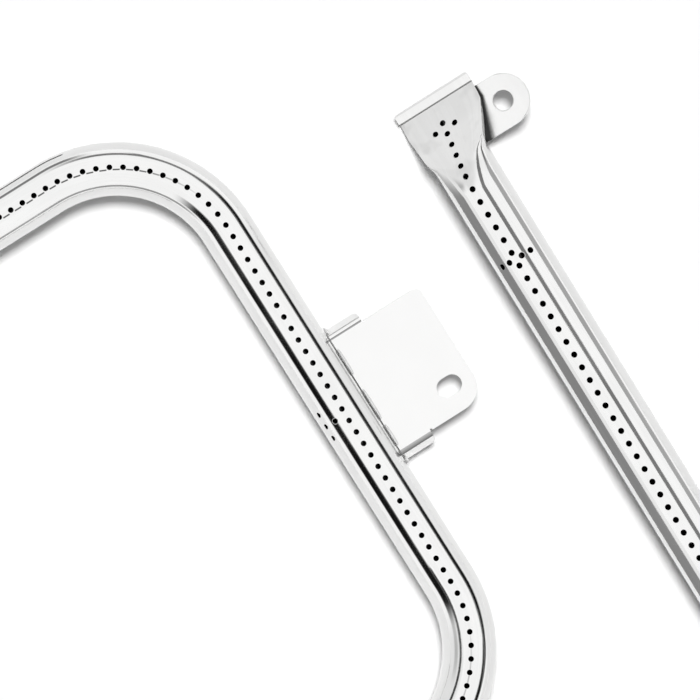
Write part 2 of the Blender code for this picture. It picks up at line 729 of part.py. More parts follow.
def add_main_burner(burner):
    ports = port_distances(MAIN_OD, MAIN_PORT_PITCH, MAIN_LENGTH)
    sections, solid_count = pressed_sections(MAIN_OD)
    sections += [round_section(d, MAIN_OD) for d in bend_stations(ports)]
    sections += inlet_sections(MAIN_OD, MAIN_LENGTH)
    mesh = tube_mesh("main_burner_tube", sections, solid_count, main_path)
    tube = add_part("main_burner_tube", mesh, burner, STEEL, 0.2)

    frames = [port_frame(main_path, d, MAIN_OD) for d in ports]
    middle = MAIN_CLOSED_LEG + BEND_LENGTH + SIDE_LENGTH / 2 + CROSSOVER_SHIFT
    frames.append(port_frame(main_path, middle, MAIN_OD, CROSSOVER_NEAR_ANGLE))
    for step in (-1, 0, 1):
        place = middle + step * MAIN_PORT_PITCH
        frames.append(port_frame(main_path, place, MAIN_OD, CROSSOVER_FAR_ANGLE))
    cut(tube, port_cutter("main_ports", frames, MAIN_PORT_DIAMETER, burner))
    cut(tube, add_inlet("main", burner, main_path, MAIN_LENGTH))
    add_ear("main", burner, main_path, MAIN_OD)
    add_bracket(burner)
    add_beads(burner)


def add_inner_burner(burner):
    ports = port_distances(INNER_OD, INNER_PORT_PITCH, INNER_LENGTH)
    sections, solid_count = pressed_sections(INNER_OD)
    sections += inlet_sections(INNER_OD, INNER_LENGTH)
    mesh = tube_mesh("inner_burner_tube", sections, solid_count, inner_path)
    tube = add_part("inner_burner_tube", mesh, burner, STEEL, 0.2)

    frames = [port_frame(inner_path, d, INNER_OD) for d in ports]
    between = (ports[0] + ports[1]) / 2
    for side in (-1, 1):
        frames.append(port_frame(inner_path, between, INNER_OD, aside=side * END_CLUSTER_SPREAD))
    nearest = min(range(len(ports) - 1), key=lambda i: abs(ports[i] - CROSS_ROW_AT))
    row = (ports[nearest] + ports[nearest + 1]) / 2
    for angle in CROSS_ROW_ANGLES:
        frames.append(port_frame(inner_path, row, INNER_OD, angle))
    cut(tube, port_cutter("inner_ports", frames, INNER_PORT_DIAMETER, burner))
    cut(tube, add_inlet("inner", burner, inner_path, INNER_LENGTH))
    add_ear("inner", burner, inner_path, INNER_OD)
    return mesh


def lay_inner_burner(burner, mesh):
    """Rests the inner burner on the floor by the edge of its pressed end and the tube before its shoulder."""
    radius = INNER_OD / 2
    edge = FLAT_WIDTH / 2 - FLAT_SHIFT
    corner = edge * math.sin(INNER_ROLL) + (radius - FLAT_LIFT) * math.cos(INNER_ROLL)
    shoulder = INNER_LENGTH - INLET_LENGTH - SHOULDER_LENGTH
    pitch = math.asin((corner - radius) / shoulder)
    turn = Euler((INNER_ROLL, pitch, INNER_YAW - math.pi / 2))
    rotation = turn.to_matrix()
    lowest = min((rotation @ vert.co).z for vert in mesh.vertices)
    burner.rotation_euler = turn
    floor = AXIS_HEIGHT - MAIN_OD / 2
    burner.location = (INNER_AXIS_X - SEAT_REACH, INNER_END_Y - BRACKET_SHIFT, floor - lowest)


clear_scene()
parts = new_collection("burner_assembly")
cutters = new_collection("cutters")
main_burner = add_empty("main_burner")
main_burner.location = (-SEAT_REACH, -BRACKET_SHIFT, AXIS_HEIGHT)
add_main_burner(main_burner)
inner_burner = add_empty("inner_burner")
inner_mesh = add_inner_burner(inner_burner)
lay_inner_burner(inner_burner, inner_mesh)
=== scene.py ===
"""Looks of the tubular gas burner set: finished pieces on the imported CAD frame, with light and camera.

Metres, in the frame of the CAD part. The main burner's bracket side runs along Y and its legs run to -X.
A place on a tube is its distance from the pressed end, and its angle from the top towards the tube's left.
"""

import json
from collections import namedtuple
from math import asin, atan2, ceil, copysign, cos, hypot, pi, radians, sin, sqrt, tan

import bmesh
import bpy
import numpy as np
from mathutils import Euler, Matrix, Vector, noise


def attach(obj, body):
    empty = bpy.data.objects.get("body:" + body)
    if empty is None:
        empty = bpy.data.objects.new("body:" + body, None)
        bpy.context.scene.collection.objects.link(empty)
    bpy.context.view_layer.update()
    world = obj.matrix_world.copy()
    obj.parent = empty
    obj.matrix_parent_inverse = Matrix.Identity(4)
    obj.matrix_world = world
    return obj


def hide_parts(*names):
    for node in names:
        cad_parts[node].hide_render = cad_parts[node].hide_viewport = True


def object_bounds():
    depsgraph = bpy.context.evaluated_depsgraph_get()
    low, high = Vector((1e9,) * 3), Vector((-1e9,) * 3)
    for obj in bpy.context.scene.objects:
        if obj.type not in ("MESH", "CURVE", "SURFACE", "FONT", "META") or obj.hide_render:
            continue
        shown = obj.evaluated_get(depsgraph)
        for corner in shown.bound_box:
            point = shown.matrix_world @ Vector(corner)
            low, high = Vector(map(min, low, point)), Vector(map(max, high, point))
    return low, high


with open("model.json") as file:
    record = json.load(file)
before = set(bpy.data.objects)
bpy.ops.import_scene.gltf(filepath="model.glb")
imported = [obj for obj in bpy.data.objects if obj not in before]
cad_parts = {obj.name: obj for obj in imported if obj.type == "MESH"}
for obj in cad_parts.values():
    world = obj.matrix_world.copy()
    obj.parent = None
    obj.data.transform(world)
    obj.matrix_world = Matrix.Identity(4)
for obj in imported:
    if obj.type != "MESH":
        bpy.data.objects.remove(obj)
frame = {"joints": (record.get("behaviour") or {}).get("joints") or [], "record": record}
cad_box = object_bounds()
record = frame["record"]
slot_of = {part["node"]: part["material_slot"] for part in record["subparts"]}
body_of = {name: body for body, names in record["behaviour"]["bodies"].items() for name in names}

MM = 0.001
FULL_TURN = 2 * pi
FIT_GAP = 0.3 * MM

# Main burner
MAIN_OD = 20 * MM
MAIN_LEG_SPACING = 250 * MM
MAIN_BEND_RADIUS = 48 * MM
MAIN_CLOSED_LEG = 282.1 * MM
MAIN_INLET_LEG = 385 * MM
MAIN_PORT_PITCH = 5 * MM
MAIN_PORT_DIAMETER = 2 * MM
CROSSOVER_NEAR_ANGLE = radians(-27)
CROSSOVER_FAR_ANGLE = radians(-57)
CROSSOVER_SHIFT = 4.1 * MM

# Inner burner
INNER_OD = 22 * MM
INNER_LENGTH = 460 * MM
INNER_PORT_PITCH = 5.5 * MM
INNER_PORT_DIAMETER = 2.2 * MM
INNER_ROLL = radians(18)
CROSS_ROW_AT = 67.6 * MM
CROSS_ROW_ANGLES = [radians(a) for a in (-34.5, -14.5, 14.5, 34.5)]

# Tube wall and the pressed, folded end of each burner
WALL = 0.9 * MM
FLAT_WIDTH = 32 * MM
FLAT_SHIFT = 1.3 * MM
FLAT_LENGTH = 10 * MM
HEM_LENGTH = 3.8 * MM
HEM_ROUND = 0.9 * MM
HEM_STEP = 0.25 * MM
HEM_GROOVE = 0.5 * MM
HEM_SPARE = 0.8 * MM
LEAD_SLOPE = radians(11)
PRESS_LENGTH = 33.5 * MM
TAPER_LENGTH = 16 * MM
PRESS_ROUNDING = 1.2 * MM
SLOPE_ROUNDING = 5.5 * MM
CORNER_ROUNDING = 0.5 * MM
CREST_ROUNDING = 5 * MM
CREST_FROM = 14 * MM
ROUND_SQUARENESS = 2.0
FLAT_SQUARENESS = 9.0
CAVITY_FROM_END = 8.2 * MM
CAVITY_SHARE = 0.27
FIRST_PORT = 1.3 * MM
END_CLUSTER_SPREAD = 4.3 * MM
PORT_RIM = 0.22 * MM

# Mounting ear under each pressed end
EAR_THICKNESS = 1.5 * MM
EAR_WIDTH = 20.3 * MM
EAR_REACH = 23.1 * MM
EAR_FROM_END = 15.6 * MM
EAR_ROOT = 9 * MM
EAR_HOLE = 7.6 * MM
SHEET_BEVEL = 0.3 * MM

# Mounting bracket on the main burner
BRACKET_THICKNESS = 1.5 * MM
BRACKET_WIDTH = 48 * MM
BRACKET_REACH = 48.6 * MM
BRACKET_SHIFT = -2.2 * MM
BRACKET_SMALL_CORNER = 3.2 * MM
BRACKET_LARGE_CORNER = 9.5 * MM
FLANGE_REACH = 24 * MM
FLANGE_ANGLE = radians(57)
FLANGE_BEND_RADIUS = 3 * MM
FLANGE_SLOPE_LENGTH = 3.2 * MM
FLANGE_CORNER = 2.2 * MM
RELIEF_WIDTH = 0.7 * MM
RELIEF_DEPTH = 0.7 * MM
SEAM_GAP = 0.5 * MM
SLOT_LENGTH = 9.9 * MM
SLOT_WIDTH = 7.3 * MM
SLOT_REACH = 38.7 * MM
SLOT_SHIFT = -13.6 * MM

# Weld beads between bracket and tube: their places and lengths, and how uneven they are
BEAD_RADIUS = 0.6 * MM
SEAM_BEADS = [(14.5 * MM, 11 * MM), (-4 * MM, 13 * MM), (-17.5 * MM, 9 * MM)]
FLANGE_BEAD_LENGTH = 3.6 * MM
BEAD_RIPPLE = 1.1 * MM
RIPPLE_HEIGHT = 0.03
BEAD_BLUNTNESS = 0.6
BEAD_UNEVENNESS = 0.15
BEAD_LUMPS = 1.3

# Necked inlet of each tube
INLET_OD = 15 * MM
INLET_LENGTH = 46 * MM
SHOULDER_LENGTH = 14 * MM
UNPORTED_LENGTH = 100 * MM
WINDOW_FROM_END = 9 * MM
WINDOW_LENGTH = 13 * MM
WINDOW_HALF_ANGLE = radians(27)
WINDOW_CORNER = 1 * MM

# Air shutter with its screw and nut
SHUTTER_FROM_END = 1.2 * MM
SHUTTER_LENGTH = 35 * MM
SHUTTER_WALL = 0.8 * MM
SHUTTER_TURN = radians(60)
SHUTTER_EDGE = 0.25 * MM
LUG_HEIGHT = 2.2 * MM
LUG_WIDTH = 2.4 * MM
LUG_LENGTH = 6 * MM
SCREW_FROM_END = 30.6 * MM
SCREW_DIAMETER = 3 * MM
SCREW_HEAD_DIAMETER = 5.6 * MM
SCREW_HEAD_HEIGHT = 2 * MM
SCREW_REACH = 4.2 * MM
SCREW_SLOT_WIDTH = 0.8 * MM
SCREW_SLOT_DEPTH = 0.9 * MM
THREAD_PITCH = 0.5 * MM
THREAD_DEPTH = 0.22 * MM
NUT_ACROSS_FLATS = 5.5 * MM
NUT_THICKNESS = 2.4 * MM
NUT_CHAMFER = radians(30)
NUT_FACE_SHARE = 0.97

# Insect screen round the air windows, and the bush in the mouth
SCREEN_GAP = 0.4 * MM
SCREEN_WALL = 0.6 * MM
SCREEN_LENGTH = 25.5 * MM
SCREEN_BAND = 2.4 * MM
SCREEN_WIRE = 0.28 * MM
SCREEN_WIRES = 44
SCREEN_HOOPS = 16
BUSH_FLANGE = 3 * MM
BUSH_SPIGOT = 6 * MM
BUSH_BORE = 9.6 * MM
BUSH_CHAMFER = 1 * MM
BUSH_BREAK = 0.25 * MM

# Fineness of the meshes
ROW_STEP = 5 * MM
FINE_ROW_STEP = 1 * MM
FINE_ROWS_PAST_PRESS = 8 * MM
COLUMN_STEP = radians(9)
STEP_SLACK = 0.01
PORT_CELLS = 4
PORT_CELL_CORNER = radians(225)
TURNED_SIDES = 64
BEAD_SIDES = 16
SCREW_SIDES = 32
NUT_SIDES = 48
CORNER_STEPS = 12
BEND_STEPS = 10
CORNER_COLUMNS = [radians(a) for a in (0, 4, 8)]
SLOT_END_SHARES = (0, 0.13, 0.5, 1)
MERGE_DISTANCE = 0.002 * MM
NORMAL_STEP = 0.03 * MM
SHARP_ANGLE = radians(35)
SHARP_WALL_ANGLE = radians(50)
SHARP_BUSH_ANGLE = radians(28)
# Bands of columns that hold a tube's ports, in degrees: the middle of each and half its width
MAIN_BANDS = [(0, 8), (-27, 8), (-57, 8), (90, 18)]
INNER_BANDS = [(0, 7), (15.5, 8.5), (-15.5, 8.5), (34.5, 7.5), (-34.5, 7.5), (90, 18)]

# Finish: the blotches' share beside the streaks, and the spans of both that change gloss and tint
BLOTCH_SHARE = 0.6
GLOSS_SPAN = (0.35, 0.65)
TINT_SPAN = (0.38, 0.62)
NOISE_ROUGHNESS = 0.55
# Dark colour of the marks: painted shade and painted reflection, and the smudges and the main tube's seam
SHADE_AND_STAIN_COLOUR = (0.03, 0.03, 0.03, 1.0)
# Painted shade inside a tube: how deep in its wall it starts and where it is full
INSIDE_SHADE_DEPTH = (0.25, 0.6)
SMUDGE = 0.14
SMUDGE_END = (20 * MM, 34 * MM)
SMUDGE_SCALE = (110, 140, 140)
SMUDGE_SPAN = (0.46, 0.66)
# Painted shade along the step of the fold at the pressed end
FOLD_SHADE = 0.4
# Painted reflection along the bracket's bends: the band of each across the plate, how dark it runs from one
# edge to the other, and the fade at its edges
BEND_REFLECTION_BANDS = [(-24.1 * MM, -25.9 * MM), (24 * MM, 24.6 * MM)]
BEND_REFLECTION_DARK = (0.45, 0.85)
BEND_REFLECTION_EDGE = 0.15 * MM
# Weld seam of the main tube: where past each bend's start it swings to the top, fades out and comes back
SEAM_ANGLE = radians(-6)
SEAM_WIDTH = 0.42 * MM
SEAM_DASH = 3.64 * MM
SEAM_DASH_SPAN = (-0.35, 0.1)
SEAM_SWING = (20 * MM, 58 * MM)
SEAM_FADE = (35 * MM, 62 * MM)
SEAM_RETURN = (15 * MM, 35 * MM)
SEAM_DARK = 0.9
SEAM_RETURN_DARK = 0.4
# Painted shadow and reflection in the corner on an ear: its edge and its width, each from one distance to
# another along the ear
EAR_SHADOW_EDGE = (10 * MM, 25 * MM, 17.3 * MM, 11.5 * MM)
EAR_SHADOW_WIDTH = (4 * MM, 25 * MM, 0.2 * MM, 2.8 * MM)
EAR_SHADOW_DARK = 0.98

# Camera: straight above, turned and leaning a little, at a long lens
CAMERA_TARGET = Vector((-12.9, 17.3, 11.5)) * MM
CAMERA_DISTANCE = 1.5
CAMERA_FRAME = 257.7 * MM
CAMERA_TURN = radians(-32.2)
CAMERA_LEAN = radians(3)
SENSOR_WIDTH = 36.0

# Light
SUN_STRENGTH = 2.98
SUN_ANGLE = radians(19)
SUN_AZIMUTH = radians(60)
SUN_ZENITH = radians(14)
AMBIENT = 0.2
FLOOR_SIZE = 8.0
FLOOR_WHITE = 0.9
FLOOR_MIRRORED = 0.76
# Dark panels of the studio, in degrees: azimuth of the middle, reach to either side and fade of that edge,
# zenith angles of the upper and lower edge and their softness, and how dark each panel is
Panel = namedtuple("Panel", "azimuth reach fade start end softness dark")
PANELS = [
    Panel(185, 15, 8, 46, 71, 3.0, 0.99),
    Panel(0, 22, 10, 55, 73, 2.0, 0.95),
    Panel(8, 72, 12, 59, 69, 2.0, 0.85),
    Panel(86, 13, 6, 72, 85, 3.0, 0.8),
    Panel(-44, 36, 8, 55, 71.5, 2.0, 0.93),
    Panel(-125, 42, 8, 76, 85, 1.5, 0.7),
    Panel(171, 17, 5, 43, 48, 1.5, 0.75),
    Panel(165, 25, 10, 54, 70, 4.0, 0.4),
    Panel(132, 30, 12, 29, 100, 10.0, 0.19),
]
# Cards near the tubes, in millimetres, and how bright each is
CARDS = [
    ("white_card", (-56, -130, 50), (26, 80, 50), 1.0),
    ("dark_card", (66, -260, 75), (84, 300, 75), 0.2),
    ("bright_card", (92, -260, 45), (121, 80, 45), 1.0),
    ("grey_card", (121, -260, 45), (290, 80, 45), 0.4),
    ("grey_side_card", (31, -260, -5), (31, 75, 16.5), 0.25),
    ("white_side_card", (29, -260, -5), (29, 90, 25), 0.85),
    ("bend_card", (-82, -82, 60), (-69, -69, 60), 0.05),
    ("leg_card", (-330, 151, -8), (-60, 160, -8), 0.12),
]
CARD_FADE = 35 * MM
CARD_FADE_SHARE = 1 / 8

# Worked out from the sizes above
SIDE_LENGTH = MAIN_LEG_SPACING - 2 * MAIN_BEND_RADIUS
BEND_LENGTH = pi / 2 * MAIN_BEND_RADIUS
LOWER_BEND = MAIN_CLOSED_LEG + BEND_LENGTH + SIDE_LENGTH
MAIN_LENGTH = LOWER_BEND + BEND_LENGTH + MAIN_INLET_LEG
FLAT_HEIGHT = 2 * WALL
FLAT_LIFT = EAR_THICKNESS + FIT_GAP
HEM_END = HEM_LENGTH + HEM_STEP
EAR_END = EAR_FROM_END + EAR_WIDTH / 2 + FIT_GAP
SHUTTER_RADIUS = INLET_OD / 2 + FIT_GAP + SHUTTER_WALL
SCREEN_RADIUS = SHUTTER_RADIUS + SCREEN_GAP + SCREEN_WALL
SCREW_HOLE_RADIUS = SCREW_DIAMETER / 2 + FIT_GAP

# From Z along an inlet, X to its left and Y up, to X along it and Z up
AXIS_TO_Z = Matrix(((0, 0, 1, 0), (1, 0, 0, 0), (0, 1, 0, 0), (0, 0, 0, 1)))

Tube = namedtuple("Tube", "name axis radius length pitch port_radius place")
Port = namedtuple("Port", "distance angle radius half")
Window = namedtuple("Window", "start end left right corner")


# Shapes as formulas

def bent(value, rounding):
    """0 below zero, the value itself above, and a rounded corner between."""
    return np.where(value > rounding, value, np.clip(value + rounding, 0, None) ** 2 / (4 * rounding))


def ramp(value, start, end, rounding):
    """0 before start, 1 after end and straight between, with rounded corners."""
    return (bent(value - start, rounding) - bent(value - end, rounding)) / (end - start)


def smooth(value, start, end):
    """0 at start and 1 at end, with an easy start and stop."""
    share = np.clip((value - start) / (end - start), 0, 1)
    return share * share * (3 - 2 * share)


def main_axis(s):
    """Centre line of the main tube in its burner's frame: x, y and heading."""
    leg = np.clip(s - MAIN_CLOSED_LEG, None, 0)
    first = np.clip((s - MAIN_CLOSED_LEG) / MAIN_BEND_RADIUS, 0, pi / 2)
    side = np.clip(s - MAIN_CLOSED_LEG - BEND_LENGTH, 0, SIDE_LENGTH)
    second = np.clip((s - LOWER_BEND) / MAIN_BEND_RADIUS, 0, pi / 2)
    last = np.clip(s - LOWER_BEND - BEND_LENGTH, 0, None)
    x = leg + MAIN_BEND_RADIUS * (np.sin(first) - 1) + MAIN_BEND_RADIUS * (np.cos(second) - 1) - last
    y = SIDE_LENGTH / 2 + MAIN_BEND_RADIUS * np.cos(first) - side - MAIN_BEND_RADIUS * np.sin(second)
    return x, y, -first - second


def inner_axis(s):
    """The same of the straight inner tube."""
    return s, np.zeros_like(s), np.zeros_like(s)


def burner_tubes():
    """The two tubes, placed by the joints at their mouths."""
    joints = {joint["name"]: joint for joint in frame["joints"]}
    mouth = Vector(joints["main_shutter_turn"]["pos_m"])
    start = mouth + Vector((MAIN_INLET_LEG + MAIN_BEND_RADIUS, MAIN_LEG_SPACING / 2, 0))
    sizes = (MAIN_OD / 2, MAIN_LENGTH, MAIN_PORT_PITCH, MAIN_PORT_DIAMETER / 2)
    main = Tube("main", main_axis, *sizes, Matrix.Translation(start))
    mouth = Vector(joints["inner_shutter_turn"]["pos_m"])
    along = Vector(joints["inner_shutter_turn"]["axis"])
    turn = Euler((INNER_ROLL, -asin(along.z), atan2(along.y, along.x)))
    place = Matrix.Translation(mouth - along * INNER_LENGTH) @ turn.to_matrix().to_4x4()
    sizes = (INNER_OD / 2, INNER_LENGTH, INNER_PORT_PITCH, INNER_PORT_DIAMETER / 2)
    return main, Tube("inner", inner_axis, *sizes, place)


def tube_wall(tube, s, angle, depth):
    """Side and height of a point this deep in a tube's wall.

    The tube is round and necked at its mouth. At its other end one plane cuts down through the round form
    to a flat that is wider than the tube and is folded over at its edge.
    """
    level = FLAT_LIFT - tube.radius
    nose = HEM_ROUND - np.sqrt(np.clip(HEM_ROUND**2 - np.clip(HEM_ROUND - s, 0, None) ** 2, 0, None))
    fold = FLAT_HEIGHT * (1 - smooth(s, HEM_LENGTH, HEM_END))
    groove = HEM_GROOVE * np.clip(1 - np.abs(s - HEM_END) / HEM_STEP, 0, None)
    lead = tan(LEAD_SLOPE)
    height = tube.radius - level - FLAT_HEIGHT
    steep = (height - lead * (PRESS_LENGTH - HEM_END)) / (PRESS_LENGTH - FLAT_LENGTH)
    rise = lead * bent(s - HEM_END, HEM_STEP) + steep * bent(s - FLAT_LENGTH, SLOPE_ROUNDING)
    top = level + FLAT_HEIGHT + fold + rise - nose - groove
    fall = FLAT_LIFT / (PRESS_LENGTH - EAR_END) * bent(s - EAR_END, PRESS_ROUNDING)
    bottom = level - fall + nose
    deep = np.minimum(depth, CAVITY_SHARE * (top - bottom))
    neck = smooth(s, tube.length - INLET_LENGTH - SHOULDER_LENGTH, tube.length - INLET_LENGTH)
    radius = tube.radius + (INLET_OD / 2 - tube.radius) * neck - deep
    spread = 1 - ramp(s, FLAT_LENGTH, FLAT_LENGTH + TAPER_LENGTH, PRESS_ROUNDING)
    half = radius + (FLAT_WIDTH / 2 - tube.radius) * spread - nose
    roundness = smooth(s, FLAT_LENGTH, FLAT_LENGTH + TAPER_LENGTH)
    squareness = FLAT_SQUARENESS + (ROUND_SQUARENESS - FLAT_SQUARENESS) * roundness
    across, upward = np.sin(angle), np.cos(angle)
    reach = (np.abs(across) ** squareness + np.abs(upward) ** squareness) ** (-1 / squareness)
    up = radius * upward * reach
    crest = CORNER_ROUNDING + (CREST_ROUNDING - CORNER_ROUNDING) * smooth(s, CREST_FROM, PRESS_LENGTH)
    up = up - bent(up - (top - deep), crest)
    up = up + bent(bottom + deep - up, CORNER_ROUNDING)
    aside = across * reach
    return half * aside + FLAT_SHIFT * spread * aside**2, up


def collar_wall(radius, start, end, wall, edge):
    """The same in the wall of a plain collar with rounded ends."""

    def wall_at(s, angle, depth):
        from_end = np.clip(np.minimum(s - start, end - s), 0, edge)
        drawn_in = edge - np.sqrt(edge**2 - (edge - from_end) ** 2)
        here = radius - depth - drawn_in * (1 - 2 * depth / wall)
        return here * np.sin(angle), here * np.cos(angle)

    return wall_at


def surface_of(tube, wall_at):
    """Points of a wall that follows a tube's centre line."""

    def surface(s, angle, depth):
        side, up = wall_at(s, angle, depth)
        x, y, heading = tube.axis(s - HEM_SPARE * (1 - smooth(s, HEM_LENGTH, FLAT_LENGTH)))
        return np.stack([x - side * np.sin(heading), y + side * np.cos(heading), up], axis=-1)

    return surface


def tangents(surface, s, angle, radius):
    """How a wall's outer face runs on along the tube and round it."""
    turn = NORMAL_STEP / radius
    zero = np.zeros_like(s)
    along = surface(s + NORMAL_STEP, angle, zero) - surface(s - NORMAL_STEP, angle, zero)
    across = surface(s, angle + turn, zero) - surface(s, angle - turn, zero)
    return along / (2 * NORMAL_STEP), across / (2 * turn)


def arc(centre, radius, start, end, steps):
    """Points of a circular arc in a plane, ends included."""
    turns = [start + (end - start) * i / steps for i in range(steps + 1)]
    return [(centre[0] + radius * cos(a), centre[1] + radius * sin(a)) for a in turns]


def around(radius, turn, height):
    """A point at this turn about Z."""
    return radius * cos(turn), radius * sin(turn), height


def even_turns(count):
    """Even turns once round."""
    return [FULL_TURN * k / count for k in range(count)]


# Meshes

def nearest(marks, value):
    """Number of the mark nearest to a value."""
    return int(np.abs(marks - value).argmin())


def filled(marks, limit):
    """Marks in order, with even steps where two lie further apart than the limit."""
    marks = sorted(set(round(mark, 7) for mark in marks))
    steps = marks[:1]
    for first, second in zip(marks, marks[1:]):
        count = max(1, ceil((second - first) / limit - STEP_SLACK))
        steps += [first + (second - first) * i / count for i in range(1, count + 1)]
    return np.array(steps)


def grid_marks(blocks, others, limit):
    """Marks of a grid: the cells of its ports' blocks, and others clear of them."""
    cells = [2 * i / PORT_CELLS - 1 for i in range(PORT_CELLS + 1)]
    marks = [centre + half * share for centre, half in blocks for share in cells]
    marks += [m for m in others if all(abs(m - centre) > half for centre, half in blocks)]
    return filled(marks, limit)


def column_marks(blocks, others):
    """Columns once round a tube, starting on its right side."""
    return grid_marks(blocks, [*others, -pi / 2, 1.5 * pi], COLUMN_STEP)[:-1]


def round_corners(s_grid, angle_grid, cells, radius, corner):
    """Gives a window's edge, a rectangle of the grid, round corners."""
    top, bottom, left, right = cells
    spot = np.s_[top : bottom + 1, left : right + 1]
    middle_s = (s_grid[top, left] + s_grid[bottom, left]) / 2
    middle_angle = (angle_grid[top, left] + angle_grid[top, right]) / 2
    along = s_grid[spot] - middle_s
    across = (angle_grid[spot] - middle_angle) * radius
    past = np.abs(along) - abs(along[0, 0]) + corner, np.abs(across) - abs(across[0, 0]) + corner
    in_corner = (past[0] > 0) & (past[1] > 0)
    scale = corner / np.maximum(np.hypot(*past), corner / 2)
    on_edge = in_corner & (np.maximum(*past) > corner - MERGE_DISTANCE)
    s_grid[spot] += np.where(on_edge, np.sign(along) * past[0] * (scale - 1), 0)
    angle_grid[spot] += np.where(on_edge, np.sign(across) * past[1] * (scale - 1), 0) / radius


def edge_of(grid, cells):
    """Vertices round a block of a grid."""
    top, bottom, left, right = cells
    loop = [(top, c) for c in range(left, right)] + [(r, right) for r in range(top, bottom)]
    loop += [(bottom, c) for c in range(right, left, -1)] + [(r, left) for r in range(bottom, top, -1)]
    return [int(grid[spot]) for spot in loop]


def joined(first, second):
    """Faces between two loops of vertices."""
    after = [*range(1, len(first)), 0]
    return [(first[k], second[k], second[n], first[n]) for k, n in enumerate(after)]


def grid_faces(grid, kept, outward):
    """Faces of the kept cells of a grid that closes on itself."""
    after = np.roll(grid, -1, axis=1)
    faces = np.stack([grid[:-1], grid[1:], after[1:], after[:-1]], axis=-1)[kept]
    return (faces if outward else faces[:, ::-1]).tolist()


def perforated(surface, radius, wall, rows, columns, ports=(), windows=(), inside_from=None):
    """Mesh of a tube's wall with round ports and rectangular windows through it.

    Its two faces are grids of rows along the tube and columns round it. Where inside_from is given, the
    first end is closed and the inside starts there.
    """
    first = 0 if inside_from is None else int(np.searchsorted(rows, inside_from))
    s_grid, angle_grid = (np.array(g) for g in np.meshgrid(rows, columns, indexing="ij"))
    outer = np.arange(s_grid.size).reshape(s_grid.shape)
    inner = np.full(outer.shape, -1)
    inner[first:] = outer.size + np.arange(outer[first:].size).reshape(-1, columns.size)
    kept = np.ones((rows.size - 1, columns.size), bool)
    walls, skin = [], []

    for window in windows:
        cells = (nearest(rows, window.start), nearest(rows, window.end),
                 nearest(columns, window.left), nearest(columns, window.right))
        round_corners(s_grid, angle_grid, cells, radius, window.corner)
        kept[cells[0] : cells[1], cells[2] : cells[3]] = False
        walls += joined(edge_of(outer, cells), edge_of(inner, cells))

    s_all = [s_grid.ravel(), s_grid[first:].ravel()]
    angle_all = [angle_grid.ravel(), angle_grid[first:].ravel()]
    depth_all = [np.zeros(outer.size), np.full(outer[first:].size, wall)]
    total = sum(part.size for part in s_all)
    count = 4 * PORT_CELLS
    side = PORT_CELLS // 2
    turns = PORT_CELL_CORNER - np.array(even_turns(count))
    for port in ports:
        row, column = nearest(rows, port.distance), nearest(columns, port.angle)
        cells = (row - side, row + side, column - side, column + side)
        kept[cells[0] : cells[1], cells[2] : cells[3]] = False
        spot = np.full(1, port.distance), np.full(1, port.angle)
        stretch = [np.linalg.norm(run) for run in tangents(surface, *spot, radius)]
        loops = [edge_of(outer, cells)]
        rim = [(port.radius + PORT_RIM, 0), (port.radius + PORT_RIM / 3, PORT_RIM / 5),
               (port.radius, PORT_RIM), (port.radius, wall)]
        for reach, depth in rim:
            s_all.append(port.distance + reach * np.cos(turns) / stretch[0])
            angle_all.append(port.angle + reach * np.sin(turns) / stretch[1])
            depth_all.append(np.full(count, depth))
            loops.append(list(range(total, total + count)))
            total += count
        loops.append(edge_of(inner, cells))
        skin += joined(loops[0], loops[1])
        for outside, inside in zip(loops[1:], loops[2:]):
            walls += joined(outside, inside)

    skin += grid_faces(outer, kept, outward=True)
    walls += grid_faces(inner[first:], kept[first:], outward=False)
    walls += joined(outer[-1].tolist(), inner[-1].tolist())
    if inside_from is None:
        walls += joined(inner[0].tolist(), outer[0].tolist())
    else:
        walls += [outer[0].tolist(), inner[first][::-1].tolist()]
    s, angle, depth = (np.concatenate(parts) for parts in (s_all, angle_all, depth_all))
    straight = np.stack([s, radius * np.sin(angle), radius * np.cos(angle)], axis=1)
    normals = np.cross(*tangents(surface, s, angle, radius))
    lengths = np.linalg.norm(normals, axis=1)
    normals /= np.where(lengths > 0, lengths, 1)[:, None]
    return wall_mesh(surface(s, angle, depth), straight, depth / wall, normals, skin, walls)


def wall_mesh(points, straight, depth, normals, skin, walls):
    """Mesh of a wall with exact normals on its skin, and straightened places and depths as attributes."""
    faces = skin + walls
    used, place = np.unique(np.concatenate([np.array(face) for face in faces]), return_inverse=True)
    sizes = np.array([len(face) for face in faces])
    faces = [place[end - size : end].tolist() for size, end in zip(sizes, np.cumsum(sizes))]
    mesh = bpy.data.meshes.new("wall")
    mesh.from_pydata(points[used].tolist(), [], faces)
    smooth_shaded(mesh, SHARP_WALL_ANGLE)
    on_skin = np.repeat(np.arange(len(faces)) < len(skin), sizes)
    exact = np.where(on_skin[:, None], normals[used][place], 0.0)
    mesh.normals_split_custom_set(exact.tolist())
    attribute = mesh.attributes.new("straight", "FLOAT_VECTOR", "POINT")
    attribute.data.foreach_set("vector", straight[used].ravel().astype(np.float32))
    attribute = mesh.attributes.new("depth", "FLOAT", "POINT")
    attribute.data.foreach_set("value", depth[used].astype(np.float32))
    return mesh


def smooth_shaded(mesh, angle=SHARP_ANGLE):
    """Shades a mesh smooth up to an angle between its faces."""
    mesh.shade_smooth()
    mesh.set_sharp_from_angle(angle=angle)
    return mesh


def mesh_from(bm):
    """Mesh of a form, without doubles and with its faces outward."""
    bmesh.ops.remove_doubles(bm, verts=bm.verts, dist=MERGE_DISTANCE)
    bmesh.ops.recalc_face_normals(bm, faces=bm.faces)
    mesh = bpy.data.meshes.new("form")
    bm.to_mesh(mesh)
    bm.free()
    return mesh


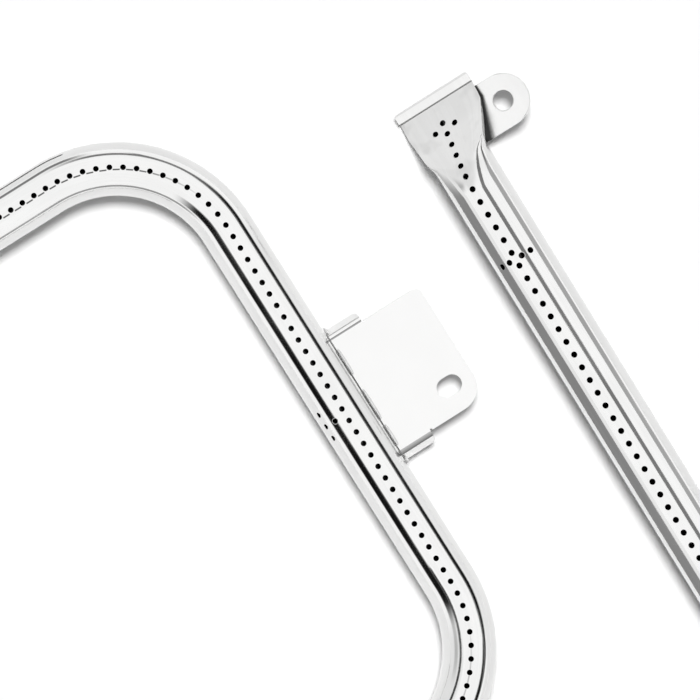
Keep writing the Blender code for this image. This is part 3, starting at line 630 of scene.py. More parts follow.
def stacked(rings):
    """Closed mesh of equal rings of points, the last joined to the first."""
    bm = bmesh.new()
    loops = [[bm.verts.new(point) for point in ring] for ring in rings]
    for first, second in zip(loops, loops[1:] + loops[:1]):
        for face in joined(first, second):
            bm.faces.new(face)
    return mesh_from(bm)


def turned(profile, sides=TURNED_SIDES):
    """Mesh of a closed profile of (radius, height) points turned about Z."""
    turns = even_turns(sides)
    return stacked([[around(r, turn, z) for turn in turns] for r, z in profile])


def box_mesh(place, size):
    """Mesh of a box."""
    bm = bmesh.new()
    bmesh.ops.create_cube(bm, size=1.0, matrix=place @ Matrix.Diagonal((*size, 1)))
    return mesh_from(bm)


def new_object(name, data):
    """A new object in the scene."""
    made = bpy.data.objects.new(name, data)
    bpy.context.scene.collection.objects.link(made)
    return made


def baked(data, modify=None):
    """Mesh of a curve or mesh with its modifiers."""
    source = new_object("source", data)
    if modify:
        modify(source)
    graph = bpy.context.evaluated_depsgraph_get()
    mesh = bpy.data.meshes.new_from_object(source.evaluated_get(graph), depsgraph=graph)
    bpy.data.objects.remove(source, do_unlink=True)
    return mesh


def curve_mesh(lines, **settings):
    """Mesh of a curve along lists of points, each with whether it is closed."""
    curve = bpy.data.curves.new("lines", "CURVE")
    for key, value in settings.items():
        setattr(curve, key, value)
    for points, closed in lines:
        spline = curve.splines.new("POLY")
        spline.points.add(len(points) - 1)
        spline.use_cyclic_u = closed
        for spot, point in zip(spline.points, points):
            spot.co = (*point, 1)
    return baked(curve)


def eased(width):
    """A rounding of a piece's sharp edges."""

    def modify(obj):
        bevel = obj.modifiers.new("Edges", "BEVEL")
        bevel.width = width
        bevel.segments = 3
        bevel.limit_method = "ANGLE"
        bevel.harden_normals = True

    return modify


# Materials

def plug(tree, target, inputs):
    """Sets a node's inputs to values or to other nodes' outputs."""
    for key, value in inputs.items():
        if isinstance(value, bpy.types.NodeSocket):
            tree.links.new(value, target.inputs[key])
        else:
            target.inputs[key].default_value = value


def node(tree, kind, inputs=None, **settings):
    """Adds a node with these inputs and other settings."""
    made = tree.nodes.new(kind)
    for key, value in settings.items():
        setattr(made, key, value)
    plug(tree, made, inputs or {})
    return made


def calc(tree, operation, *values):
    """Output of a math node."""
    return node(tree, "ShaderNodeMath", dict(enumerate(values)), operation=operation).outputs[0]


def product(tree, first, *others):
    """Output of a chain of products."""
    for other in others:
        first = calc(tree, "MULTIPLY", first, other)
    return first


def between(tree, value, low, high, start=0.0, end=1.0, kind="LINEAR"):
    """Output of a map from low..high to start..end."""
    inputs = {"Value": value, "From Min": low, "From Max": high, "To Min": start, "To Max": end}
    return node(tree, "ShaderNodeMapRange", inputs, interpolation_type=kind).outputs["Result"]


def soft(tree, value, low, high, start=0.0, end=1.0):
    """The same, with an easy start and stop."""
    return between(tree, value, low, high, start, end, "SMOOTHSTEP")


def axes(tree, vector):
    """The X, Y and Z of a vector."""
    return node(tree, "ShaderNodeSeparateXYZ", {0: vector}).outputs


def local(tree):
    """Output of a place in the piece's own frame."""
    return node(tree, "ShaderNodeTexCoord").outputs["Object"]


def stored(tree, name, output):
    """Output of an attribute of the mesh."""
    return node(tree, "ShaderNodeAttribute", attribute_name=name).outputs[output]


def noise_at(tree, vector, scale, detail):
    """Output of a noise with a scale for each axis."""
    place = node(tree, "ShaderNodeMapping", {"Vector": vector, "Scale": scale}).outputs["Vector"]
    inputs = {"Vector": place, "Scale": 1.0, "Detail": detail, "Roughness": NOISE_ROUGHNESS}
    return node(tree, "ShaderNodeTexNoise", inputs).outputs["Fac"]


def mixed(tree, share, first, second):
    """Output of a mix of two colours."""
    return node(tree, "ShaderNodeMix", {0: share, 6: first, 7: second}, data_type="RGBA").outputs[2]


def new_material(name):
    """A material and its nodes."""
    material = bpy.data.materials.new(name)
    material.use_nodes = True
    return material, material.node_tree


def shade_and_smudge_marks(tree):
    """Painted shade that blackens a tube's wall deeper in and on its inside, smudges on its pressed end,
    and painted shade in the fold.
    """
    # Painted shade: the wall blackens deeper in, so the ports' bores and the tube's inside read dark
    inside_shade = soft(tree, stored(tree, "depth", "Fac"), *INSIDE_SHADE_DEPTH)
    place = stored(tree, "straight", "Vector")
    from_fold = calc(tree, "SUBTRACT", axes(tree, place)["X"], HEM_END)
    pressed = soft(tree, from_fold, *SMUDGE_END, SMUDGE, 0.0)
    folded = between(tree, from_fold, 0.0, HEM_STEP)
    blotch = soft(tree, noise_at(tree, place, SMUDGE_SCALE, 2.0), *SMUDGE_SPAN)
    smudge = product(tree, pressed, folded, blotch)
    # Painted shade along the fold's step
    fold = between(tree, calc(tree, "ABSOLUTE", from_fold), HEM_STEP / 3, HEM_STEP, FOLD_SHADE, 0.0)
    return calc(tree, "MAXIMUM", inside_shade, calc(tree, "MAXIMUM", smudge, fold))


def seam_marks(tree):
    """The same, and the main tube's weld seam as dashes between its ports."""
    place = axes(tree, stored(tree, "straight", "Vector"))
    past_upper = calc(tree, "SUBTRACT", place["X"], MAIN_CLOSED_LEG)
    past_lower = calc(tree, "SUBTRACT", place["X"], LOWER_BEND)
    middle = between(tree, past_upper, *SEAM_SWING, SEAM_ANGLE, 0.0)
    aside = calc(tree, "SUBTRACT", calc(tree, "ARCTAN2", place["Y"], place["Z"]), middle)
    off = calc(tree, "MULTIPLY", calc(tree, "ABSOLUTE", aside), MAIN_OD / 2)
    line = soft(tree, off, SEAM_WIDTH / 3, SEAM_WIDTH, 1.0, 0.0)
    upper = between(tree, past_upper, *SEAM_FADE, SEAM_DARK, 0.0)
    lower = between(tree, past_lower, *SEAM_RETURN, 0.0, SEAM_RETURN_DARK)
    from_dash = calc(tree, "SUBTRACT", place["X"], SEAM_DASH)
    wave = calc(tree, "COSINE", calc(tree, "MULTIPLY", from_dash, FULL_TURN / MAIN_PORT_PITCH))
    dash = soft(tree, wave, *SEAM_DASH_SPAN)
    seam = product(tree, line, dash, calc(tree, "MAXIMUM", upper, lower))
    return calc(tree, "MAXIMUM", shade_and_smudge_marks(tree), seam)


def painted_bend_reflection(tree):
    """Painted reflection: dark bands along the bracket's two bends, where the bends would mirror dark
    surroundings.
    """
    across = axes(tree, local(tree))["Y"]
    both = 0.0
    for start, end in BEND_REFLECTION_BANDS:
        edge = copysign(BEND_REFLECTION_EDGE, end)
        begun = between(tree, across, start - edge, start)
        ended = between(tree, across, end, end + edge, 1.0, 0.0)
        dark = between(tree, across, start, end, *BEND_REFLECTION_DARK)
        both = calc(tree, "MAXIMUM", both, product(tree, dark, begun, ended))
    return both


def painted_corner_shadow(tree):
    """Painted shadow and reflection: dark in the corner under the pressed end, wider towards the tube."""
    place = axes(tree, local(tree))
    edge = between(tree, place["X"], *EAR_SHADOW_EDGE)
    width = between(tree, place["X"], *EAR_SHADOW_WIDTH)
    off = calc(tree, "DIVIDE", calc(tree, "SUBTRACT", place["Y"], edge), width)
    return soft(tree, off, 0.0, 1.0, EAR_SHADOW_DARK, 0.0)


def metal(name, colour, rough, streaks, blotches, shade, relief, straight=False, marks=None):
    """Bare metal: fine streaks and blotches that change its gloss, its tint and, a little, its form.

    streaks and blotches are how many there are to a metre along each axis, shade is how much the blotches
    darken it, and relief is how deep they are. Marks that blacken it further, painted shade and painted
    reflection among them, can be given as a function.
    """
    material, tree = new_material(name)
    vector = stored(tree, "straight", "Vector") if straight else local(tree)
    fine = noise_at(tree, vector, streaks, 3.0)
    broad = noise_at(tree, vector, blotches, 4.0)
    both = calc(tree, "MULTIPLY_ADD", broad, BLOTCH_SHARE, calc(tree, "MULTIPLY", fine, 1 - BLOTCH_SHARE))
    darker = [channel * (1 - shade) for channel in colour]
    shown = mixed(tree, soft(tree, both, *TINT_SPAN), (*darker, 1.0), (*colour, 1.0))
    # Marks mix in the dark colour: painted shade and painted reflection, and on the tubes smudges and the
    # seam
    if marks:
        shown = mixed(tree, marks(tree), shown, SHADE_AND_STAIN_COLOUR)
    bump = node(tree, "ShaderNodeBump", {"Height": both, "Strength": 1.0, "Distance": relief})
    plug(tree, tree.nodes["Principled BSDF"], {
        "Metallic": 1.0,
        "Roughness": between(tree, both, *GLOSS_SPAN, *rough),
        "Base Color": shown,
        "Normal": bump.outputs["Normal"],
    })
    return material


def make_materials():
    """The metals of the record's slots, and of the pieces with marks of their own."""
    steel = ((0.93, 0.93, 0.925), (0.05, 0.13), (25, 900, 900), (45, 130, 130), 0.05, 0.012 * MM, True)
    sheet = ((0.96, 0.96, 0.955), (0.16, 0.26), (120, 900, 900), (60, 60, 60), 0.015, 0.003 * MM, False)
    weld = ((0.95, 0.95, 0.945), (0.45, 0.6), (700, 700, 700), (250, 250, 250), 0.1, 0.004 * MM)
    collar = ((0.90, 0.90, 0.89), (0.16, 0.3), (700, 60, 60), (70, 70, 70), 0.06, 0.008 * MM, True)
    zinc = ((0.77, 0.79, 0.80), (0.2, 0.42), (500, 500, 500), (150, 150, 150), 0.12, 0.012 * MM)
    wire = ((0.78, 0.78, 0.77), (0.25, 0.45), (900, 900, 900), (120, 120, 120), 0.12, 0.01 * MM)
    brass = ((0.83, 0.66, 0.34), (0.16, 0.34), (90, 90, 2600), (110, 110, 110), 0.14, 0.012 * MM)
    # The ears carry a painted shadow and reflection in their corner under the pressed end
    ear = metal("ear_sheet", *sheet, painted_corner_shadow)
    return {
        "tube_steel": metal("drawn_steel", *steel, shade_and_smudge_marks),
        "main_burner_tube": metal("seamed_steel", *steel, seam_marks),
        "sheet_steel": metal("sheet_steel", *sheet),
        "main_mount_bracket": metal("bent_sheet", *sheet, painted_bend_reflection),
        "main_mount_ear": ear,
        "inner_mount_ear": ear,
        "weld_metal": metal("weld_metal", *weld),
        "shutter_steel": metal("collar_steel", *collar),
        "plated_steel": metal("zinc_plate", *zinc),
        "screen_steel": metal("screen_wire", *wire),
        "bush_brass": metal("turned_brass", *brass),
    }


def add_piece(node_name, mesh, place):
    """A finished piece that stands for one CAD node and rides on its body."""
    body = body_of[node_name]
    slot = slot_of[node_name]
    mesh.name = node_name
    mesh.materials.clear()
    mesh.materials.append(materials.get(node_name, materials[slot]))
    piece = new_object(node_name + "_look", mesh)
    piece.matrix_world = place
    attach(piece, body)
    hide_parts(node_name)


# Tubes

def top_ports(tube):
    """Ports at an even pitch along a tube's top, from the slope on."""
    slope = hypot(PRESS_LENGTH - FLAT_LENGTH, 2 * tube.radius - FLAT_LIFT - FLAT_HEIGHT)
    last = tube.length - UNPORTED_LENGTH
    last_run = slope + last - PRESS_LENGTH
    runs = np.arange(FIRST_PORT, last_run, tube.pitch)
    distances = np.interp(runs, [0, slope, last_run], [FLAT_LENGTH, PRESS_LENGTH, last])
    gaps = np.diff(distances)
    halves = np.minimum(np.append(gaps[0], gaps), np.append(gaps, gaps[-1])) / 4
    return [Port(d, 0.0, tube.port_radius, h) for d, h in zip(distances, halves)]


def midway(ports, distance):
    """Place halfway between two ports of a row, nearest to a distance."""
    row = np.array([port.distance for port in ports])
    middles = (row[:-1] + row[1:]) / 2
    return middles[nearest(middles, distance)]


def crossover_ports(tube, ports):
    """The ports inside the loop, which pass the flame on."""
    middle = MAIN_CLOSED_LEG + BEND_LENGTH + SIDE_LENGTH / 2 + CROSSOVER_SHIFT
    spots = [(middle, CROSSOVER_NEAR_ANGLE)]
    spots += [(middle + step * tube.pitch, CROSSOVER_FAR_ANGLE) for step in (-1, 0, 1)]
    return [Port(midway(ports, at), angle, tube.port_radius, tube.pitch / 4) for at, angle in spots]


def inner_side_ports(tube, ports):
    """The two ports beside the first ones, and the row across the tube."""
    first, second = ports[:2]
    at = (first.distance + second.distance) / 2
    angles = np.linspace(-pi / 4, pi / 4, 400)
    sides = tube_wall(tube, np.full(angles.size, at), angles, np.zeros(angles.size))[0]
    half = (second.distance - first.distance) / 4
    spots = np.interp([-END_CLUSTER_SPREAD, END_CLUSTER_SPREAD], sides, angles)
    cluster = [Port(at, angle, tube.port_radius, half) for angle in spots]
    across = midway(ports, CROSS_ROW_AT + tube.pitch / 2)
    return cluster + [Port(across, angle, tube.port_radius, tube.pitch / 4) for angle in CROSS_ROW_ANGLES]


def window_rows(tube):
    """Rows along a tube's air windows."""
    corner = [0, WINDOW_CORNER / 3, WINDOW_CORNER]
    steps = corner + [WINDOW_LENGTH - step for step in corner]
    return [tube.length - WINDOW_FROM_END - step for step in steps]


def window_angles(half):
    """Columns at the upper and the lower window."""
    marks = [sign * (half - drawn) for sign in (-1, 1) for drawn in CORNER_COLUMNS]
    return marks + [pi + mark for mark in marks]


def air_windows(tube, half):
    """The upper and the lower air window."""
    end = tube.length - WINDOW_FROM_END
    start = end - WINDOW_LENGTH
    return [Window(start, end, middle - half, middle + half, WINDOW_CORNER) for middle in (0, pi)]


def end_marks(tube):
    """Rows that a tube's pressed end and its mouth need."""
    nose = [HEM_ROUND * (1 - cos(radians(a))) for a in (0, 20, 40, 60, 90)]
    hem = [HEM_LENGTH + HEM_STEP * k / 4 for k in range(-1, 10)]
    slope = np.arange(FLAT_LENGTH, PRESS_LENGTH + FINE_ROWS_PAST_PRESS, FINE_ROW_STEP)
    mouth = tube.length - INLET_LENGTH - SHOULDER_LENGTH
    shoulder = [mouth + SHOULDER_LENGTH * k / CORNER_STEPS for k in range(CORNER_STEPS + 1)]
    return [*nose, *hem, CAVITY_FROM_END, *slope, *shoulder, *window_rows(tube), tube.length]


def add_tube(tube, side_ports, bands):
    """A burner's tube with its ports, its pressed end and its necked inlet."""
    ports = top_ports(tube)
    ports += side_ports(tube, ports)
    ports.append(Port(tube.length - SCREW_FROM_END, pi / 2, SCREW_HOLE_RADIUS, SCREW_DIAMETER))
    rows = grid_marks([(port.distance, port.half) for port in ports], end_marks(tube), ROW_STEP)
    blocks = [(radians(centre), radians(half)) for centre, half in bands]
    columns = column_marks(blocks, window_angles(WINDOW_HALF_ANGLE))
    surface = surface_of(tube, lambda s, angle, depth: tube_wall(tube, s, angle, depth))
    windows = air_windows(tube, WINDOW_HALF_ANGLE)
    mesh = perforated(surface, tube.radius, WALL, rows, columns, ports, windows, CAVITY_FROM_END)
    add_piece(tube.name + "_burner_tube", mesh, tube.place)


def axis_frame(tube, s):
    """Frame on a tube's centre line: X along it, Y to its left, Z up."""
    x, y, heading = (value.item() for value in tube.axis(np.full(1, s)))
    return Matrix.Translation((x, y, 0)) @ Matrix.Rotation(heading, 4, "Z")


# Sheet parts and welds

def add_ear(tube):
    """Flat mounting ear under the pressed end, out to the left."""
    half = EAR_WIDTH / 2
    root = [(EAR_FROM_END - half, -EAR_ROOT), (EAR_FROM_END + half, -EAR_ROOT)]
    tip = arc((EAR_FROM_END, EAR_REACH), half, 0, pi, 3 * CORNER_STEPS)
    hole = arc((EAR_FROM_END, EAR_REACH), EAR_HOLE / 2, 0, FULL_TURN, 4 * CORNER_STEPS)[:-1]
    sheet = curve_mesh(
        [([(x, y, 0) for x, y in loop], True) for loop in (root + tip, hole)],
        dimensions="2D", fill_mode="BOTH", extrude=EAR_THICKNESS / 2 - SHEET_BEVEL,
        bevel_depth=SHEET_BEVEL, bevel_resolution=2, offset=-SHEET_BEVEL,
    )
    lift = Matrix.Translation((0, 0, EAR_THICKNESS / 2 - tube.radius))
    add_piece(tube.name + "_mount_ear", smooth_shaded(sheet), tube.place @ lift @ axis_frame(tube, 0.0))


def bracket_outline(root):
    """Edge of the bracket plate from its root, with a notch beside each flange."""
    half = BRACKET_WIDTH / 2
    notch_end = FLANGE_REACH + RELIEF_WIDTH
    deep = half - RELIEF_DEPTH
    upper = [(notch_end, half), (notch_end, deep), (FLANGE_REACH, deep), (FLANGE_REACH, half), (root, half)]
    lower = [(x, -y) for x, y in reversed(upper)]
    large = (BRACKET_REACH - BRACKET_LARGE_CORNER, BRACKET_LARGE_CORNER - half)
    small = (BRACKET_REACH - BRACKET_SMALL_CORNER, half - BRACKET_SMALL_CORNER)
    corners = arc(large, BRACKET_LARGE_CORNER, -pi / 2, 0, CORNER_STEPS)
    corners += arc(small, BRACKET_SMALL_CORNER, 0, pi / 2, CORNER_STEPS)
    return lower + corners + upper


def slot_outline():
    """Edge of the bracket's slot."""
    run = (SLOT_LENGTH - SLOT_WIDTH) / 2
    x, y = SLOT_REACH, SLOT_SHIFT
    ends = arc((x + run, y), SLOT_WIDTH / 2, -pi / 2, pi / 2, CORNER_STEPS)
    return ends + arc((x - run, y), SLOT_WIDTH / 2, pi / 2, 3 * pi / 2, CORNER_STEPS)


def flange_down(side):
    """Direction down a flange on the plate's +Y or -Y side."""
    return Vector((0, side * cos(FLANGE_ANGLE), -sin(FLANGE_ANGLE)))


def add_flange(bm, root, end, side):
    """Strip bent down from the plate's edge between two of its corners."""
    previous = (root, end)
    for i in range(1, BEND_STEPS + 1):
        turn = FLANGE_ANGLE * i / BEND_STEPS
        y = root.co.y + side * FLANGE_BEND_RADIUS * sin(turn)
        z = -FLANGE_BEND_RADIUS * (1 - cos(turn))
        current = (bm.verts.new((root.co.x, y, z)), bm.verts.new((end.co.x, y, z)))
        bm.faces.new((*previous, *reversed(current)))
        previous = current
    bend = previous[0].co.copy()
    down = flange_down(side)
    middle = (end.co.x - FLANGE_CORNER, FLANGE_SLOPE_LENGTH - FLANGE_CORNER)
    rounding = arc(middle, FLANGE_CORNER, 0, pi / 2, CORNER_STEPS)
    lower = [bm.verts.new(Vector((x, bend.y, bend.z)) + down * run) for x, run in rounding]
    lower.append(bm.verts.new(bend + down * FLANGE_SLOPE_LENGTH))
    bm.faces.new((*previous, *lower))


def sheet_form(obj):
    """Gives a flat form its sheet thickness and eases its edges."""
    sheet = obj.modifiers.new("Sheet", "SOLIDIFY")
    sheet.thickness = BRACKET_THICKNESS
    sheet.offset = -1
    sheet.use_even_offset = True
    eased(SHEET_BEVEL)(obj)


def add_bracket(tube):
    """Sheet bracket: a plate with a slot, and two flanges bent down at its root."""
    bm = bmesh.new()
    edges = []
    outline = [bm.verts.new((x, y, 0)) for x, y in bracket_outline(tube.radius + SEAM_GAP)]
    slot = [bm.verts.new((x, y, 0)) for x, y in slot_outline()]
    for loop in (outline, slot):
        edges += [bm.edges.new(pair) for pair in zip(loop, loop[1:] + loop[:1])]
    bmesh.ops.triangle_fill(bm, use_beauty=True, edges=edges, normal=(0, 0, 1))
    add_flange(bm, outline[0], outline[1], -1)
    add_flange(bm, outline[-1], outline[-2], 1)
    bmesh.ops.recalc_face_normals(bm, faces=bm.faces)
    if sum(face.normal.z for face in bm.faces) < 0:
        bmesh.ops.reverse_faces(bm, faces=bm.faces)
    flat = bpy.data.meshes.new("flat")
    bm.to_mesh(flat)
    bm.free()
    flat.shade_smooth()
    place = tube.place @ Matrix.Translation((0, BRACKET_SHIFT, 0))
    add_piece("main_mount_bracket", baked(flat, sheet_form), place)


def bead_mesh(length):
    """Rippled weld bead along Z, uneven as a hand weld is."""
    steps = max(8, round(length / BEAD_RIPPLE * 6))
    rings = []
    for i in range(steps + 1):
        along = -1 + 2 * i / steps
        height = along * length / 2
        swell = sqrt(max(0.0, 1 - along**2)) ** BEAD_BLUNTNESS
        ripple = 1 + RIPPLE_HEIGHT * sin(FULL_TURN * height / BEAD_RIPPLE)
        ring = []
        for turn in even_turns(BEAD_SIDES):
            spot = Vector(around(1, turn, height / BEAD_RADIUS))
            lump = noise.noise(spot * BEAD_LUMPS + Vector((length / MM, 0, 0)))
            ring.append(around(BEAD_RADIUS * swell * ripple * (1 + BEAD_UNEVENNESS * lump), turn, height))
        rings.append(ring)
    return smooth_shaded(stacked(rings))


def add_bead(tube, name, centre, length, direction):
    """One weld bead on the main burner."""
    turn = Vector((0, 0, 1)).rotation_difference(direction).to_matrix().to_4x4()
    add_piece(name, bead_mesh(length), tube.place @ Matrix.Translation(centre) @ turn)


def add_beads(tube):
    """Tack welds along the plate's seam, and one on each flange's inner end."""
    reach = tube.radius + FIT_GAP + BEAD_RADIUS
    for i, (shift, length) in enumerate(SEAM_BEADS, 1):
        centre = Vector((reach, BRACKET_SHIFT + shift, BEAD_RADIUS + FIT_GAP))
        add_bead(tube, f"bracket_seam_weld_{i}", centre, length, Vector((0, 1, 0)))
    for label, side in (("lower", -1), ("upper", 1)):
        down = flange_down(side)
        out = Vector((0, side * sin(FLANGE_ANGLE), cos(FLANGE_ANGLE)))
        bend_middle = Vector((reach, BRACKET_SHIFT + side * BRACKET_WIDTH / 2, -FLANGE_BEND_RADIUS))
        surface = bend_middle + out * FLANGE_BEND_RADIUS + down * FLANGE_SLOPE_LENGTH / 2
        centre = surface + out * (BEAD_RADIUS + FIT_GAP)
        add_bead(tube, f"bracket_{label}_weld", centre, FLANGE_BEAD_LENGTH, down)


# Inlet parts

def lug_mesh(tube):
    """Tab on the collar's right side that it is turned by."""
    height = LUG_HEIGHT + SHUTTER_WALL / 2
    middle = Matrix.Translation((0, SHUTTER_WALL / 2 - SHUTTER_RADIUS - height / 2, 0))
    place = axis_frame(tube, tube.length - SCREW_FROM_END) @ middle
    return baked(box_mesh(place, (LUG_LENGTH, height, LUG_WIDTH)), eased(LUG_WIDTH / 4))


def add_shutter(tube):
    """Collar that turns on the inlet, with windows, a slot for its screw and a lug."""
    end = tube.length - SHUTTER_FROM_END
    start = end - SHUTTER_LENGTH
    half = asin(INLET_OD / 2 * sin(WINDOW_HALF_ANGLE) / SHUTTER_RADIUS)
    at = tube.length - SCREW_FROM_END
    shank = SCREW_HOLE_RADIUS
    spare = shank / SHUTTER_RADIUS
    slot = Window(at - shank, at + shank, pi / 2 - spare, pi / 2 + SHUTTER_TURN + spare, shank)
    slot_rows = [at + shank * sin(radians(a)) for a in range(-90, 91, 30)]
    rounding = [SHUTTER_EDGE * (1 - cos(radians(a))) for a in range(0, 91, 30)]
    edges = [start + d for d in rounding] + [end - d for d in rounding]
    rows = filled([*edges, *slot_rows, *window_rows(tube)], ROW_STEP)
    slot_ends = [slot.left + spare * share for share in SLOT_END_SHARES]
    slot_ends += [slot.right - spare * share for share in SLOT_END_SHARES]
    columns = column_marks([], window_angles(half) + slot_ends)
    surface = surface_of(tube, collar_wall(SHUTTER_RADIUS, start, end, SHUTTER_WALL, SHUTTER_EDGE))
    windows = air_windows(tube, half) + [slot]
    name = tube.name + "_air_shutter"
    collar = perforated(surface, SHUTTER_RADIUS, SHUTTER_WALL, rows, columns, windows=windows)
    add_piece(name, collar, tube.place)
    lug = new_object(name + "_lug", lug_mesh(tube))
    lug.data.materials.append(materials["sheet_steel"])
    lug.matrix_world = tube.place
    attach(lug, tube.name + "_shutter")


def screw_mesh():
    """Slotted pan-head screw through the shutter's slot and the tube wall."""
    seat = SHUTTER_RADIUS + FIT_GAP
    top = seat + SCREW_HEAD_HEIGHT
    foot = seat - SCREW_REACH
    shank = SCREW_DIAMETER / 2
    core = shank - THREAD_DEPTH
    head = SCREW_HEAD_DIAMETER / 2
    crown_radius = SCREW_HEAD_HEIGHT / 2
    crown = arc((head - crown_radius, top - crown_radius), crown_radius, pi / 2, 0, CORNER_STEPS)
    thread = []
    for i in range(int(SCREW_REACH / THREAD_PITCH)):
        height = seat - i * THREAD_PITCH
        thread += [(shank, height), (core, height - THREAD_PITCH / 2)]
    profile = [(0, top), *crown, (head, seat), *thread, (core, foot), (0, foot)]
    whole = smooth_shaded(turned(profile, SCREW_SIDES))
    size = (2 * SCREW_HEAD_DIAMETER, SCREW_SLOT_WIDTH, 2 * SCREW_SLOT_DEPTH)
    cutter = new_object("cutter", box_mesh(Matrix.Translation((0, 0, top)), size))

    def cut(obj):
        obj.modifiers.new("Slot", "BOOLEAN").object = cutter

    mesh = smooth_shaded(baked(whole, cut))
    bpy.data.objects.remove(cutter, do_unlink=True)
    return mesh


def nut_mesh():
    """Weld nut inside the tube wall, with chamfered corners."""
    flat = NUT_ACROSS_FLATS / 2
    sixth = pi / 6
    top = sqrt((INLET_OD / 2 - WALL) ** 2 - (flat / cos(sixth)) ** 2) - FIT_GAP
    turns = even_turns(NUT_SIDES)
    hexagon = [flat / cos((turn + sixth) % (2 * sixth) - sixth) for turn in turns]
    rings = []
    for height, inward in ((top - NUT_THICKNESS, 1), (top, -1)):
        edge = [(r, height + inward * (r - flat) * tan(NUT_CHAMFER)) for r in hexagon]
        face = [(flat * NUT_FACE_SHARE, height)] * NUT_SIDES
        bore = [(SCREW_HOLE_RADIUS, height)] * NUT_SIDES
        rings += [bore, face, edge][::inward]
    points = [[around(r, turn, z) for turn, (r, z) in zip(turns, ring)] for ring in rings]
    return smooth_shaded(stacked(points))


def woven_lines():
    """The screen's wires and the hoops woven across them."""
    middle = SCREEN_RADIUS - SCREEN_WALL / 2
    swing = SCREEN_WALL / 2 - SCREEN_WIRE / 2
    woven = SCREEN_LENGTH - SCREEN_BAND
    heights = [-SCREEN_BAND / 2 - woven * (j + 0.5) / SCREEN_HOOPS for j in range(SCREEN_HOOPS)]
    full = [-SCREEN_BAND / 2, *heights, SCREEN_BAND / 2 - SCREEN_LENGTH]
    lines = []
    for k, turn in enumerate(even_turns(SCREEN_WIRES)):
        wire = [around(middle + swing * (-1) ** (j + k), turn, height) for j, height in enumerate(full)]
        lines.append((wire, False))
    for j, height in enumerate(heights, 1):
        hoop = []
        for k, turn in enumerate(even_turns(2 * SCREEN_WIRES)):
            aside = 0 if k % 2 else swing * (-1) ** (j + k // 2)
            hoop.append(around(middle - aside, turn, height))
        lines.append((hoop, True))
    return lines


def screen_mesh():
    """Sleeve of woven wire between two bands."""
    cloth = curve_mesh(
        woven_lines(), dimensions="3D", bevel_depth=SCREEN_WIRE / 2, bevel_resolution=1, use_fill_caps=True
    )
    bm = bmesh.new()
    bm.from_mesh(cloth)
    outer, inner = SCREEN_RADIUS, SCREEN_RADIUS - SCREEN_WALL
    ease = SCREEN_WALL / 4
    for high in (0, SCREEN_BAND - SCREEN_LENGTH):
        low = high - SCREEN_BAND
        profile = [(outer - ease, high), (outer, high - ease), (outer, low + ease), (outer - ease, low)]
        bm.from_mesh(turned([*profile, (inner, low), (inner, high)]))
    bm.to_mesh(cloth)
    bm.free()
    return smooth_shaded(cloth)


def bush_mesh():
    """Turned brass bush that guides the gas orifice."""
    low = FIT_GAP
    high = low + BUSH_FLANGE
    spigot = INLET_OD / 2 - WALL - FIT_GAP
    bore = BUSH_BORE / 2
    foot = low - BUSH_SPIGOT
    corner = (SCREEN_RADIUS - BUSH_CHAMFER, high - BUSH_CHAMFER)
    profile = [
        (bore + BUSH_CHAMFER, high),
        *arc(corner, BUSH_CHAMFER, pi / 2, 0, CORNER_STEPS // 2),
        (SCREEN_RADIUS, low + BUSH_BREAK),
        (SCREEN_RADIUS - BUSH_BREAK, low),
        (spigot, low),
        (spigot, foot + BUSH_BREAK),
        (spigot - BUSH_BREAK, foot),
        (bore + BUSH_BREAK, foot),
        (bore, foot + BUSH_BREAK),
        (bore, high - BUSH_CHAMFER),
    ]
    return smooth_shaded(turned(profile), SHARP_BUSH_ANGLE)


def add_inlet_parts(tube):
    """The pieces on a tube's mouth that don't turn."""
    mouth = tube.place @ axis_frame(tube, tube.length) @ AXIS_TO_Z
    screw = mouth @ Matrix.Translation((0, 0, -SCREW_FROM_END)) @ Matrix.Rotation(pi / 2, 4, "Y")
    add_piece(tube.name + "_shutter_screw", screw_mesh(), screw)
    add_piece(tube.name + "_shutter_nut", nut_mesh(), screw)
    add_piece(tube.name + "_insect_screen", screen_mesh(), mouth)
    add_piece(tube.name + "_inlet_bush", bush_mesh(), mouth)


# Stage

def add_plane(name, corners, material):
    """Rectangle of the stage."""
    mesh = bpy.data.meshes.new(name)
    mesh.from_pydata(corners, [], [(0, 1, 2, 3)])
    mesh.materials.append(material)
    plane = new_object(name, mesh)
    return plane


def add_floor():
    """Pale floor under the burners."""
    material, tree = new_material("floor")
    mirrored = node(tree, "ShaderNodeLightPath").outputs["Is Glossy Ray"]
    white = between(tree, mirrored, 0, 1, FLOOR_WHITE, FLOOR_MIRRORED)
    plug(tree, tree.nodes["Principled BSDF"],
         {"Base Color": white, "Roughness": 1.0, "Specular IOR Level": 0.0})
    reach = FLOOR_SIZE / 2
    spots = [(-reach, -reach), (reach, -reach), (reach, reach), (-reach, reach)]
    add_plane("floor", [(x, y, cad_box[0].z) for x, y in spots], material)


def add_card(name, low, high, brightness):
    """Card along Y that only shows in the metal and fades out at its +Y end."""
    (x0, y0, z0), (x1, y1, z1) = (Vector(corner) * MM for corner in (low, high))
    material, tree = new_material(name)
    tree.nodes.remove(tree.nodes["Principled BSDF"])
    glow = node(tree, "ShaderNodeEmission", {"Strength": brightness}).outputs[0]
    clear = node(tree, "ShaderNodeBsdfTransparent").outputs[0]
    fade = min(CARD_FADE, (y1 - y0) * CARD_FADE_SHARE)
    faded = soft(tree, axes(tree, local(tree))["Y"], y1 - fade, y1)
    blend = node(tree, "ShaderNodeMixShader", {0: faded, 1: glow, 2: clear}).outputs[0]
    plug(tree, tree.nodes["Material Output"], {"Surface": blend})
    card = add_plane(name, [(x0, y0, z0), (x1, y0, z1), (x1, y1, z1), (x0, y1, z0)], material)
    for ray in ("camera", "diffuse", "shadow", "transmission"):
        setattr(card, "visible_" + ray, False)


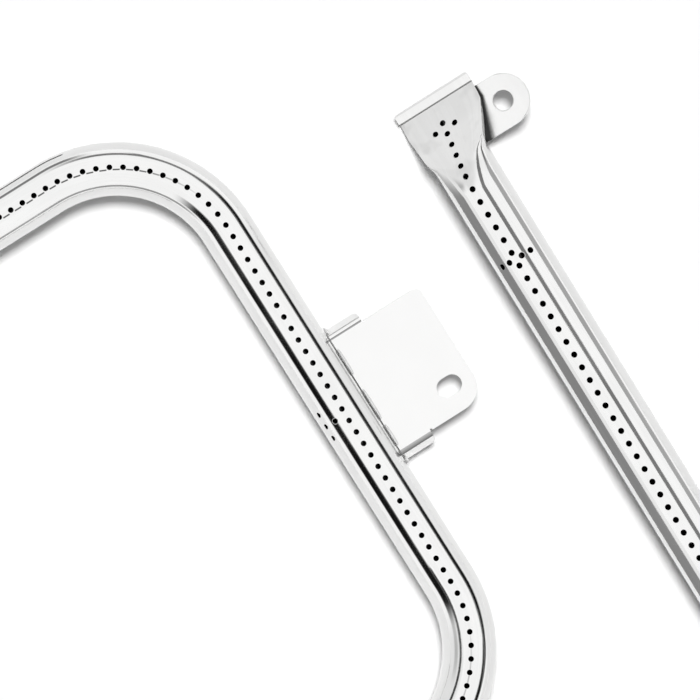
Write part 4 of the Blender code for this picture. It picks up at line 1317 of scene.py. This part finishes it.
def edge_light(tree, angle, edge, softness, before, after):
    """A soft step at an angle given in degrees."""
    return soft(tree, angle, radians(edge - softness), radians(edge + softness), before, after)


def panel_light(tree, direction, panel):
    """How much light comes past one dark panel, by direction."""
    x, y, z = axes(tree, direction)
    level = calc(tree, "SQRT", calc(tree, "MULTIPLY_ADD", z, calc(tree, "MULTIPLY", z, -1.0), 1.0))
    middle = radians(panel.azimuth)
    sideways = calc(tree, "MULTIPLY", y, sin(middle))
    toward = calc(tree, "MULTIPLY_ADD", x, cos(middle), sideways)
    aside = calc(tree, "ARCCOSINE", calc(tree, "DIVIDE", toward, level))
    inside = edge_light(tree, aside, panel.reach, panel.fade, 1.0, 0.0)
    zenith = calc(tree, "ARCCOSINE", z)
    below = edge_light(tree, zenith, panel.start, panel.softness, 0.0, 1.0)
    above = edge_light(tree, zenith, panel.end, panel.softness, 1.0, 0.0)
    return calc(tree, "MULTIPLY_ADD", product(tree, below, above, inside), -panel.dark, 1.0)


def light_studio():
    """White surroundings with dark panels, which the metal mirrors, and one broad sun."""
    world = bpy.data.worlds.new("studio")
    bpy.context.scene.world = world
    world.use_nodes = True
    tree = world.node_tree
    path = node(tree, "ShaderNodeLightPath").outputs
    direction = node(tree, "ShaderNodeTexCoord").outputs["Generated"]
    mirrored = product(tree, 1.0, *[panel_light(tree, direction, panel) for panel in PANELS])
    mirror = calc(tree, "MAXIMUM", path["Is Glossy Ray"], path["Is Transmission Ray"])
    shown = calc(tree, "MULTIPLY_ADD", mirror, calc(tree, "SUBTRACT", mirrored, AMBIENT), AMBIENT)
    seen = calc(tree, "MULTIPLY_ADD", path["Is Camera Ray"], calc(tree, "SUBTRACT", 1.0, shown), shown)
    plug(tree, tree.nodes["Background"], {"Strength": seen, "Color": (1, 1, 1, 1)})

    sun = bpy.data.lights.new("sun", "SUN")
    sun.energy = SUN_STRENGTH
    sun.angle = SUN_ANGLE
    lamp = new_object("sun", sun)
    lamp.rotation_euler = (0, SUN_ZENITH, SUN_AZIMUTH)
    lamp.visible_glossy = False


def add_camera():
    """Camera above the burners, turned as the photo is."""
    back = Vector((-sin(CAMERA_LEAN), 0, cos(CAMERA_LEAN)))
    right = Vector((cos(CAMERA_TURN), sin(CAMERA_TURN), 0))
    right = (right - back * right.dot(back)).normalized()
    turn = Matrix((right, back.cross(right), back)).transposed().to_4x4()
    data = bpy.data.cameras.new("camera")
    data.sensor_width = SENSOR_WIDTH
    data.lens = SENSOR_WIDTH * CAMERA_DISTANCE / CAMERA_FRAME
    camera = new_object("camera", data)
    camera.matrix_world = Matrix.Translation(CAMERA_TARGET + back * CAMERA_DISTANCE) @ turn
    bpy.context.scene.camera = camera


materials = make_materials()
main_tube, inner_tube = burner_tubes()
add_tube(main_tube, crossover_ports, MAIN_BANDS)
add_tube(inner_tube, inner_side_ports, INNER_BANDS)
add_bracket(main_tube)
add_beads(main_tube)
for burner_tube in (main_tube, inner_tube):
    add_ear(burner_tube)
    add_shutter(burner_tube)
    add_inlet_parts(burner_tube)
add_floor()
for card in CARDS:
    add_card(*card)
light_studio()
add_camera()
bpy.context.scene.view_settings.view_transform = "Standard"
